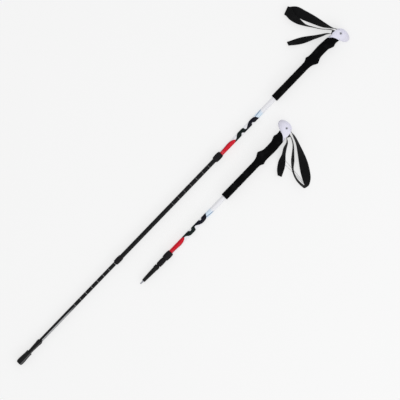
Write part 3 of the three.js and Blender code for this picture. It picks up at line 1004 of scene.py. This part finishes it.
STRAP_TAIL = {
    "long": [
        (-42, 19, 80, 20), (-60, 30, 64, 20), (-78, 41, 50, 20), (-96, 52, 26, 20),
        (-112, 62, 12, 20), (-128, 72, 34, 20), (-143, 82, 54, 20),
    ],
    "short": [
        (-44, 21, 78, 20), (-60, 28.5, 60, 20), (-76, 38.5, 54, 20), (-93, 48.5, 20, 21.5),
        (-107, 58, 6, 22), (-119.5, 66, 29, 21), (-129, 73.5, 52, 20),
    ],
}


def by_wedge(across, along):
    """A place across and along the tilted wedge, in the pole's x and y."""
    x = WEDGE_X + across * math.cos(WEDGE_TILT) - along * math.sin(WEDGE_TILT)
    return x, WEDGE_Y + across * math.sin(WEDGE_TILT) + along * math.cos(WEDGE_TILT)


def strap_row(x, y, z, heading, lean, width):
    """(place, reach) of one row. The reach runs from the middle of the webbing to an edge."""
    flat = math.cos(lean) * width / 2
    reach = (-math.sin(heading) * flat, math.cos(heading) * flat, math.sin(lean) * width / 2)
    return np.array((x, y, z), float), np.array(reach)


def in_slot(x, y):
    return strap_row(x, y, 0, 0, math.pi / 2, NARROW)


def fold_rows(pole, x, y, heading, width):
    rows = []
    for k in range(5):
        a = math.pi * (k / 4 - 0.5)
        ahead = FOLD_R * math.cos(a)
        z = pole.floor_at(x) + PACKED_HALF + STRAP_REST + FOLD_R * (1 + math.sin(a))
        place = (x + ahead * math.cos(heading), y + ahead * math.sin(heading), z)
        rows.append(strap_row(*place, heading, 0, width))
    return rows


def laid_rows(pole, table, settles):
    """Rows on the floor. settles gives 0 for a row at the slot's height and 1 for one on the floor."""
    rows = []
    for k, (x, y, lean, width) in enumerate(table):
        x0, y0 = table[max(0, k - 1)][:2]
        x1, y1 = table[min(len(table) - 1, k + 1)][:2]
        if lean == 0:
            rows += fold_rows(pole, x, y, math.atan2(2 * y - y0 - y1, 2 * x - x0 - x1), width)
            continue
        a = math.radians(lean)
        lying = math.sin(a) * width / 2 + math.cos(a) * PACKED_HALF + STRAP_REST
        height = PACKED_HALF + STRAP_REST + 2 * FOLD_R if lean > 90 else lying
        z = settles(k) * (pole.floor_at(x) + height)
        rows.append(strap_row(x, y, z, math.atan2(y1 - y0, x1 - x0), a, width))
    return rows


def strap_route(pole):
    eye = PIN_R + PIN_CLEAR + PACKED_HALF
    loop, tail = STRAP_LOOP[pole.name], STRAP_TAIL[pole.name]
    turns = [math.radians(a) for a in range(80, 361, 35)]
    rows = [in_slot(PIN[0] + eye * math.cos(a), PIN[1] + eye * math.sin(a)) for a in turns]
    rows += [in_slot(-13, 0), in_slot(-14.6, 9)]
    rows += laid_rows(pole, loop, lambda k: min(1, (k + 1) / 2, (len(loop) - k) / 2))
    rows.append(in_slot(*by_wedge(WEDGE_TURN, WEDGE_LEG)))
    for k in range(5):
        a = -math.pi * k / 4
        rows.append(in_slot(*by_wedge(WEDGE_TURN * math.cos(a), WEDGE_TURN * math.sin(a))))
    rows.append(in_slot(*by_wedge(-WEDGE_TURN, WEDGE_LEG)))
    return rows + laid_rows(pole, tail, lambda k: min(1, (k + 1) / 2))


def through(points, t, power):
    """A Catmull-Rom curve through points at t from 0 to 1, with its knots spaced by power."""
    last = len(points) - 1
    k = min(int(t * last), last - 1)
    w = t * last - k
    p1, p2 = points[k], points[k + 1]
    p0 = points[k - 1] if k > 0 else 2 * p1 - p2
    p3 = points[k + 2] if k + 2 <= last else 2 * p2 - p1
    d0, d1, d2 = [max(float(np.linalg.norm(b - a)), 1e-4) ** power for a, b in ((p0, p1), (p1, p2), (p2, p3))]
    m1 = ((p1 - p0) / d0 - (p2 - p0) / (d0 + d1) + (p2 - p1) / d1) * d1
    m2 = ((p2 - p1) / d1 - (p3 - p1) / (d1 + d2) + (p3 - p2) / d2) * d1
    h = w * w * (3 - 2 * w)
    return p1 * (1 - h) + p2 * h + m1 * w * (1 - w) ** 2 - m2 * w * w * (1 - w)


class Ribbon:
    """A pole's strap as sampled places, directions, widths and distances along it."""

    def __init__(self, pole, per_row=9):
        rows = strap_route(pole)
        ts = np.linspace(0, 1, per_row * (len(rows) - 1) + 1)
        self.places = np.array([through([place for place, _ in rows], t, 0.5) for t in ts])
        reaches = np.array([through([reach for _, reach in rows], t, 0.0) for t in ts])
        steps = np.gradient(self.places, axis=0)
        self.alongs = steps / np.linalg.norm(steps, axis=1)[:, None]
        self.widths = 2 * np.linalg.norm(reaches, axis=1)
        reaches -= self.alongs * (reaches * self.alongs).sum(axis=1)[:, None]
        self.acrosses = reaches / np.linalg.norm(reaches, axis=1)[:, None]
        self.outs = np.cross(self.alongs, self.acrosses)
        moves = np.linalg.norm(np.diff(self.places, axis=0), axis=1)
        self.distances = np.concatenate([[0], np.cumsum(moves)])
        self.length = float(self.distances[-1])
        self.area = float((moves * (self.widths[1:] + self.widths[:-1]) / 2).sum())

    def point(self, k, across, out):
        return self.places[k] + self.acrosses[k] * across + self.outs[k] * out


RIBBONS = {pole.name: Ribbon(pole) for pole in POLES}
for name, ribbon in RIBBONS.items():
    print(name, "strap", round(ribbon.length), "mm long")

# %% [markdown]
# ### The ribbon's skin
# A cross-section of the webbing is a flat oval, thicker where a lining is sewn into the wrist
# band and at the tail's end, where the webbing is folded back and stitched. The map that
# the weave reads is written here too, with a mask that is 1 on the two bound edges.

# %% Strap mesh
ACROSS = 14
LINED_FROM, LINED_STEP = 20.5, 3.0
HEM, HEM_THICK = 16.0, 1.1
SELVEDGE = 1.6


def strap_thickness(ribbon, k):
    widen = min(1.0, max(0.0, (ribbon.widths[k] - LINED_FROM) / LINED_STEP))
    fold = 1.0 if ribbon.length - ribbon.distances[k] < HEM else 0.0
    return WEBBING_THICK + (BAND_THICK - WEBBING_THICK) * widen + HEM_THICK * fold


def strap_section(width, thick):
    """(across, out, selvedge) round the webbing's section."""
    shape = []
    for upper in (1, -1):
        for k in range(ACROSS):
            s = upper * (1 - 2 * k / ACROSS)
            from_edge = (1 - abs(s)) * width / 2
            edge = min(1.0, from_edge / (thick * 0.55))
            rim = 1.0 if from_edge < SELVEDGE else 0.0
            swell = 0.88 + 0.12 * rim
            out = upper * thick / 2 * swell * math.sqrt(max(0.0, 1 - (1 - edge) ** 2))
            shape.append((s * width / 2, out, rim))
    return shape


def strap_mesh(ribbon):
    count = len(ribbon.places)
    points, lay, rims = [], [], []
    for k in range(count):
        section = strap_section(ribbon.widths[k], strap_thickness(ribbon, k))
        for across, out, rim in section:
            points.append(ribbon.point(k, across, out))
            lay.append((ribbon.distances[k] * MM, across * MM))
            rims.append(rim)
    rings = numbered(count, 2 * ACROSS)
    mesh = mesh_of("wrist_strap", points, [rings[0], rings[-1][::-1], *joined(rings)])
    weave = mesh.uv_layers.new(name="weave")
    for loop in mesh.loops:
        weave.data[loop.index].uv = lay[loop.vertex_index]
    selvedge = mesh.attributes.new("selvedge", "FLOAT", "POINT")
    selvedge.data.foreach_set("value", rims)
    return mesh


for pole in POLES:
    ribbon = RIBBONS[pole.name]
    piece(
        pole, "wrist_strap_webbing", strap_mesh(ribbon), WEBBING, "strap", "wrist_strap", 50.0
    )
    print(pole.name, "strap area", round(ribbon.area), "square mm")

# %% [markdown]
# ### Stitches
# Two rows of stitching hold the lining of the wrist band, a block of bar tacks closes the
# loop at the slot, and another closes the tail's fold. A stitch is a short fat bead, and
# Geometry Nodes set beads at even steps along any line that they are given, pointing along it.

# %% Stitch tree


def new_tree(name, sizes):
    """A Geometry Nodes group with a mesh going in and out and named sizes."""
    tree = bpy.data.node_groups.new(name, "GeometryNodeTree")
    for way in ("INPUT", "OUTPUT"):
        tree.interface.new_socket("Geometry", in_out=way, socket_type="NodeSocketGeometry")
    for size, kind in sizes.items():
        tree.interface.new_socket(size, in_out="INPUT", socket_type=kind)
    return tree


def add_node(tree, kind, settings=None, inputs=None):
    made = tree.nodes.new(kind)
    for key, value in (settings or {}).items():
        setattr(made, key, value)
    for key, value in (inputs or {}).items():
        if isinstance(value, bpy.types.NodeSocket):
            tree.links.new(value, made.inputs[key])
        else:
            made.inputs[key].default_value = value
    return made


def close_tree(tree, geometry, material):
    """Every tree ends by making its instances real and giving them their finish."""
    real = add_node(tree, "GeometryNodeRealizeInstances", None, {0: geometry})
    given = {"Geometry": real.outputs[0], "Material": material}
    coat = add_node(tree, "GeometryNodeSetMaterial", None, given)
    add_node(tree, "NodeGroupOutput", None, {0: coat.outputs[0]})
    return tree


def beads_on(tree, given, points, segments, rings, turn=None):
    """Ends a tree with a bead of the given Thickness and Length on each of its points."""
    thick = given["Thickness"]
    size = add_node(tree, "ShaderNodeCombineXYZ", None, {0: thick, 1: thick, 2: given["Length"]})
    shape = {"Segments": segments, "Rings": rings, "Radius": 0.5}
    bead = add_node(tree, "GeometryNodeMeshUVSphere", None, shape)
    placed = {"Points": points, "Instance": bead.outputs[0], "Scale": size.outputs[0]}
    if turn:
        placed["Rotation"] = turn
    beads = add_node(tree, "GeometryNodeInstanceOnPoints", None, placed)
    return close_tree(tree, beads.outputs[0], given["Finish"])


FLOAT, INT, MATERIAL = "NodeSocketFloat", "NodeSocketInt", "NodeSocketMaterial"
STITCH_SEGMENTS, STITCH_RINGS = 8, 6


def stitch_tree():
    sizes = {"Step": FLOAT, "Length": FLOAT, "Thickness": FLOAT, "Finish": MATERIAL}
    tree = new_tree("stitches", sizes)
    given = add_node(tree, "NodeGroupInput").outputs
    line = add_node(tree, "GeometryNodeMeshToCurve", None, {0: given["Geometry"]})
    stepped = {"Curve": line.outputs[0], "Length": given["Step"]}
    stops = add_node(tree, "GeometryNodeResampleCurve", {"mode": "LENGTH"}, stepped)
    heading = add_node(tree, "GeometryNodeInputTangent")
    turn = add_node(tree, "FunctionNodeAlignRotationToVector", {"axis": "Z"}, {"Vector": heading.outputs[0]})
    return beads_on(tree, given, stops.outputs[0], STITCH_SEGMENTS, STITCH_RINGS, turn.outputs[0])


def grown(tree, name, mesh, **values):
    """Runs a tree on a mesh and gives back the plain mesh that it grows."""
    seed = bpy.data.objects.new(name, mesh)
    scene.collection.objects.link(seed)
    modifier = seed.modifiers.new(name, "NODES")
    modifier.node_group = tree
    named = {item.name: item.identifier for item in tree.interface.items_tree if item.in_out == "INPUT"}
    for key, value in values.items():
        modifier[named[key.replace("_", " ")]] = value
    return finished(seed)


STITCHES = stitch_tree()
print("stitch tree", len(STITCHES.nodes), "nodes")

# %% Stitch lines
STITCH_INSET = 2.4
STITCHED_FROM = 20.6
TACK_INSET = 3.0
TACK_POINTS = 7
HEM_TACKS = 14.0
ANCHOR_TACKS = 62.0


def line_mesh(lines):
    points, edges = [], []
    for line in lines:
        edges += [(len(points) + k, len(points) + k + 1) for k in range(len(line) - 1)]
        points += [tuple(p) for p in line]
    mesh = bpy.data.meshes.new("stitch_lines")
    mesh.from_pydata(points, edges, [])
    return mesh


def band_lines(ribbon):
    """Both faces of the wrist band get a row near each edge."""
    wide = [k for k in range(len(ribbon.places)) if ribbon.widths[k] > STITCHED_FROM]
    lines = []
    for face in (0.44, -0.44):
        for edge in (1, -1):
            line = []
            for k in wide:
                across = edge * (ribbon.widths[k] / 2 - STITCH_INSET)
                line.append(ribbon.point(k, across, face * strap_thickness(ribbon, k)))
            lines.append(line)
    return lines


def tack_lines(ribbon, start, length, rows):
    """A block of short rows across the webbing, on both faces."""
    ks = [k for k in range(len(ribbon.places)) if start <= ribbon.distances[k] <= start + length]
    chosen = [ks[round(i * (len(ks) - 1) / (rows - 1))] for i in range(rows)]
    lines = []
    for face in (0.46, -0.46):
        for k in chosen:
            half = ribbon.widths[k] / 2 - TACK_INSET
            out = face * strap_thickness(ribbon, k)
            lines.append([ribbon.point(k, half * s, out) for s in np.linspace(-1, 1, TACK_POINTS)])
    return lines


for pole in POLES:
    ribbon = RIBBONS[pole.name]
    hem = tack_lines(ribbon, ribbon.length - HEM_TACKS, 10.0, 4)
    lines = line_mesh(band_lines(ribbon) + hem + tack_lines(ribbon, ANCHOR_TACKS, 16.0, 5))
    beads = grown(STITCHES, "stitches", lines, Step=3.1, Length=2.5, Thickness=0.5, Finish=THREAD)
    made = piece(pole, "strap_stitches", beads, THREAD, "strap", None, ALL_SMOOTH)
    print(pole.name, "stitches", len(made.data.polygons) // (STITCH_SEGMENTS * STITCH_RINGS))

# %% [markdown]
# ### The wedge
# The wedge is a small block with a rounded foot that the webbing turns round, cross ribs that
# bite into it, and a blunt end that shows between the two legs of the strap. Its outline in x
# and y runs nearly the whole width of the slot, so it is a prism with its edges eased by a bevel.

# %% Strap wedge
WEDGE_HALF = 9.8
WEDGE_HEIGHT = 13.4
WEDGE_BITE = 0.35
WEDGE_ROOM = 1.3


def wedge_mesh():
    r = WEDGE_TURN - WEDGE_ROOM
    right = []
    for k in range(9):
        right.append((r - (WEDGE_BITE if k % 2 else 0.0), (WEDGE_HEIGHT - 1.2) * k / 8))
    left = [(-across, along) for across, along in reversed(right)]
    top = [(r - 0.4, WEDGE_HEIGHT), (0.4 - r, WEDGE_HEIGHT)]
    turns = [math.pi + math.pi * k / 16 for k in range(1, 16)]
    foot = [(r * math.cos(a), r * math.sin(a)) for a in turns]
    outline_points = [by_wedge(*point) for point in [*right, *top, *left, *foot]]
    block = prism("wedge", outline_points, -WEDGE_HALF, WEDGE_HALF)
    soft = block.modifiers.new("ease", "BEVEL")
    soft.width = 0.25
    soft.segments = 2
    soft.limit_method = "ANGLE"
    return finished(block)


for pole in POLES:
    piece(pole, "strap_wedge_ribbed", wedge_mesh(), WEDGE, "wedge", "strap_wedge")
print("wedges made")

# %% [markdown]
# ## Tubes
# Each tube is a thin wall with a rolled edge at both ends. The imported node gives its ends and
# radius, and 96 sides make it round at any distance.

# %% Tubes
WALL = 0.7


def tube_piece(pole, level, finish, body):
    low, high, radius = pole.span(f"{level}_tube")
    profile = [(low, radius - WALL), (low, radius), (high, radius), (high, radius - WALL)]
    return turned_piece(pole, f"{level}_tube_drawn", profile, finish, body, f"{level}_tube", 0.2)


for pole in POLES:
    tube_piece(pole, "upper", PAINTED[pole.name], "handle_section")
    tube_piece(pole, "middle", MIDDLE[pole.name], "middle_section")
    tube_piece(pole, "lower", LOWER[pole.name], "lower_section")
print("six tubes made")

# %% [markdown]
# ## Lock collars
# A collar is a barrel moulded on the end of the outer tube, with a lip that guides the inner
# tube. Low flutes run along the barrel to give wet gloves a hold. They repeat round it, so
# Geometry Nodes set long thin beads on a circle.

# %% Collar tree


def flute_tree():
    sizes = {"Count": INT, "Radius": FLOAT, "Length": FLOAT, "Thickness": FLOAT, "Finish": MATERIAL}
    tree = new_tree("flutes", sizes)
    given = add_node(tree, "NodeGroupInput").outputs
    round_axis = {"Vertices": given["Count"], "Radius": given["Radius"]}
    stops = add_node(tree, "GeometryNodeMeshCircle", None, round_axis)
    return beads_on(tree, given, stops.outputs[0], 10, 10)


FLUTES = flute_tree()
LIE_ALONG = Matrix.Rotation(math.pi / 2, 4, "Y")


def empty_mesh():
    mesh = bpy.data.meshes.new("seed")
    mesh.from_pydata([(0, 0, 0)], [], [])
    return mesh


def flutes(pole, name, x, finish, body, slot, **sizes):
    mesh = grown(FLUTES, name, empty_mesh(), Finish=finish, **sizes)
    mesh.transform(Matrix.Translation((x, 0, 0)) @ LIE_ALONG)
    piece(pole, name, mesh, finish, body, None, ALL_SMOOTH)


print("flute tree", len(FLUTES.nodes), "nodes")

# %% Collars
COLLAR_LIP = 4.5


def collar_piece(pole, level, outer, inner, body):
    low, high, most = pole.span(f"{level}_lock_collar")
    outer_r = pole.span(f"{outer}_tube")[2] + BORE_GAP
    inner_r = pole.span(f"{inner}_tube")[2] + BORE_GAP
    length = high - low
    upper = level == "upper"
    ends = most - 1.1 if upper else most - 0.6
    profile = [
        (low, inner_r), (low, ends - 0.8), (low + 1, ends), (low + length * 0.12, ends + 0.25),
        (low + length * 0.3, most - 0.25, 3), (low + length * 0.75, most - 0.25, 3), (high - 2.4, ends + 0.2),
        (high - 2.0, ends - 0.25), (high - 1.4, ends - 0.25), (high - 1.0, ends), (high, ends - 0.8),
        (high, outer_r), (low + COLLAR_LIP, outer_r), (low + COLLAR_LIP, inner_r),
    ]
    node = f"{level}_lock_collar"
    turned_piece(pole, f"{level}_collar_barrel", profile, COLLAR, body, node)
    flutes(
        pole, f"{level}_collar_flutes", low + length * 0.52, COLLAR, body, "collar_plastic",
        Count=26 if upper else 22, Radius=most - 0.5, Length=length * 0.62, Thickness=1.0,
    )


for pole in POLES:
    collar_piece(pole, "upper", "upper", "middle", "handle_section")
    collar_piece(pole, "lower", "middle", "lower", "middle_section")
print("four collars made")

# %% [markdown]
# ## Flex tip and steel point
# The flex tip is a nylon ferrule that gives a little when the point is caught. It tapers from a
# flange down to the point, with a coarse thread for a basket. A thread is a spiral curve
# with a round section, which Geometry Nodes sweep along it. The point is hardened steel with a
# hollow crown that bites rock.

# %% Thread tree


def thread_tree():
    sizes = dict.fromkeys(["Turns", "Start Radius", "End Radius", "Height", "Thickness"], FLOAT)
    tree = new_tree("thread", {**sizes, "Finish": MATERIAL})
    given = add_node(tree, "NodeGroupInput").outputs
    path = add_node(tree, "GeometryNodeCurveSpiral", None, {
        "Resolution": 48, "Rotations": given["Turns"], "Start Radius": given["Start Radius"],
        "End Radius": given["End Radius"], "Height": given["Height"],
    })
    ring = {"Resolution": 8, "Radius": given["Thickness"]}
    section = add_node(tree, "GeometryNodeCurvePrimitiveCircle", None, ring)
    swept = {0: path.outputs[0], 1: section.outputs[0], "Fill Caps": True}
    sweep = add_node(tree, "GeometryNodeCurveToMesh", None, swept)
    return close_tree(tree, sweep.outputs[0], given["Finish"])


THREAD_TREE = thread_tree()
print("thread tree", len(THREAD_TREE.nodes), "nodes")

# %% Flex tips and points
STEEL_SHOWN = 12.0
THREAD_FROM, THREAD_TO = 17.0, 50.0
THREAD_TURNS = 11.0
THREAD_SUNK = 0.12


def flex_radius(up):
    """Radius of the ferrule's taper at a distance above the steel point's end."""
    return 5.1 + (up - STEEL_SHOWN - 1) * 2.0 / 48.5


def flex_pieces(pole):
    low, top, flange = pole.span("flex_tip")
    point = low - STEEL_SHOWN
    bore = pole.span("lower_tube")[2] + BORE_GAP
    profile = [
        (low, 2.6), (low, 4.4), (low + 1, 5.05), (point + 51.5, flex_radius(51.5) - 0.1),
        (point + 53, flex_radius(53) + 0.35), (point + 54.5, flex_radius(54.5)),
        (point + 61.3, 7.1), (point + 62.4, flange, 0.4), (point + 66.6, flange, 0.2),
        (point + 67.2, flange - 0.45, 0.1), (point + 67.8, flange, 0.2), (top - 1, flange, 0.4),
        (top, 7.5, 0.3), (top, bore), (point + 41.5, bore), (point + 41.5, 2.6),
    ]
    turned_piece(pole, "flex_ferrule", profile, FERRULE, "lower_section", "flex_tip", 0.25)
    mesh = grown(
        THREAD_TREE, "thread", empty_mesh(), Turns=THREAD_TURNS, Height=THREAD_TO - THREAD_FROM,
        Start_Radius=flex_radius(THREAD_FROM) - THREAD_SUNK,
        End_Radius=flex_radius(THREAD_TO) - THREAD_SUNK, Thickness=0.42, Finish=FERRULE,
    )
    mesh.transform(Matrix.Translation((point + THREAD_FROM, 0, 0)) @ LIE_ALONG)
    piece(pole, "flex_thread", mesh, FERRULE, "lower_section", None, ALL_SMOOTH)


def steel_point(pole):
    low, high, _ = pole.span("steel_point")
    shoulder = low + STEEL_SHOWN - BORE_GAP
    profile = [
        (low + 1.3, 0.0), (low + 0.9, 0.9), (low, 1.5, 0.1), (low + 0.1, 1.75, 0.1), (low + 1.6, 2.2),
        (low + 8.6, 2.25), (low + 9.6, 3.4), (shoulder, 3.4), (shoulder, 2.2), (high, 2.2), (high, 0.0),
    ]
    turned_piece(pole, "steel_point_hard", profile, STEEL, "lower_section", "steel_point", 0.15)


for pole in POLES:
    flex_pieces(pole)
    steel_point(pole)
print("flex tips and points made")

# %% [markdown]
# ## The rubber foot
# The foot is a thick cup pushed over the flex tip. Its sole is moulded with two rings and a
# circle of blocks for grip, and a bead stiffens its rim. The blocks repeat, so the flute
# tree sets them too, short and fat this time, level with the rings.

# %% Rubber foot


def rubber_foot(pole):
    low, high, most = pole.span("rubber_foot")
    profile = [
        (low + 1.0, 0.0), (low + 1.0, 2.2, 0.2), (low, 2.6, 0.2), (low, 4.0, 0.2), (low + 1.0, 4.4, 0.2),
        (low + 1.0, 5.6, 0.2), (low, 6.0, 0.2), (low, 6.8, 0.4), (low + 1.2, 8.3, 0.8), (low + 4, 9.6, 1.5),
        (low + 8, most, 3), (low + 14, most, 3), (low + 39.4, 8.35, 1), (low + 40.6, 8.8, 0.4),
        (high - 1, 8.8, 0.5), (high, 8.2, 0.4), (high, 6.2, 0.3), (low + 27.1, 5.5), (low + 27.1, 3.8),
        (low + 18.2, 3.8), (low + 18.2, 0.0),
    ]
    turned_piece(pole, "foot_cup", profile, RUBBER, "foot", "rubber_foot")
    blocks = {"Count": 12, "Radius": 5.0, "Length": 1.6, "Thickness": 1.3}
    flutes(pole, "foot_tread", low + 0.85, RUBBER, "foot", "foot_rubber", **blocks)


rubber_foot(LONG)
print("foot made")

# %% [markdown]
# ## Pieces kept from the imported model
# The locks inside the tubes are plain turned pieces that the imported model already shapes:
# split expander, brass cone, plug, stud and nut. They only need their finishes.

# %% Inner pieces
INNER = {
    "expander_cone": BRASS, "lock_stud": STEEL, "stop_nut": STEEL, "lock_plug": ACETAL, "expander": ACETAL,
}
dressed = 0
for name, node in frame["nodes"].items():
    for ending, finish in INNER.items():
        if name.endswith(ending):
            node.data.materials.clear()
            node.data.materials.append(finish)
            dressed += 1
print("inner pieces dressed", dressed)

# %% [markdown]
# ## Floor and light
# The floor is a plain pale sheet, lit a little from within like a light table, so that the
# shadows stay faint. Broad soft light comes from above, and one long card on the side of the
# long pole's front draws a soft line of light along the tubes. The straps rest on the floor.

# %% Floor
FLOOR_SIZE = 60.0
WHITE = (1.0, 1.0, 1.0, 1.0)
floor_mesh = mesh_of("floor", [(-1, -1, 0), (1, -1, 0), (1, 1, 0), (-1, 1, 0)], [(0, 1, 2, 3)])
floor_mesh.transform(Matrix.Diagonal((FLOOR_SIZE, FLOOR_SIZE, 1, 1)))
floor_finish = Finish("pale_floor", Roughness=0.9, Specular_IOR_Level=0.0, Emission_Strength=0.63)
floor_finish.shader.inputs["Emission Color"].default_value = WHITE
grain = floor_finish.noise(3.0, 2.0)
floor_finish.feed("Base Color", floor_finish.mix(grain, rgb(148, 148, 148), rgb(149, 149, 149)))
floor_mesh.materials.append(floor_finish.material)
floor = bpy.data.objects.new("floor", floor_mesh)
scene.collection.objects.link(floor)
for pole in POLES:
    ribbon = RIBBONS[pole.name]
print("floor laid")

# %% Lights


def area_light(name, place, aim, size, power):
    data = bpy.data.lights.new(name, "AREA")
    data.shape = "RECTANGLE"
    data.size, data.size_y = size
    data.energy = power
    made = bpy.data.objects.new(name, data)
    made.location = place
    made.rotation_euler = (Vector(aim) - Vector(place)).to_track_quat("-Z", "Y").to_euler()
    scene.collection.objects.link(made)


world = bpy.data.worlds.new("studio")
world.use_nodes = True
background = world.node_tree.nodes["Background"]
background.inputs["Color"].default_value = WHITE
background.inputs["Strength"].default_value = 0.72
scene.world = world
area_light("overhead", (0.3, -0.4, 3.0), (0, 0, 0), (3.2, 3.2), 26.0)
area_light("front_card", (0.0, -2.6, 1.6), (0, 0, 0), (3.0, 0.8), 14.0)
print("lights set")
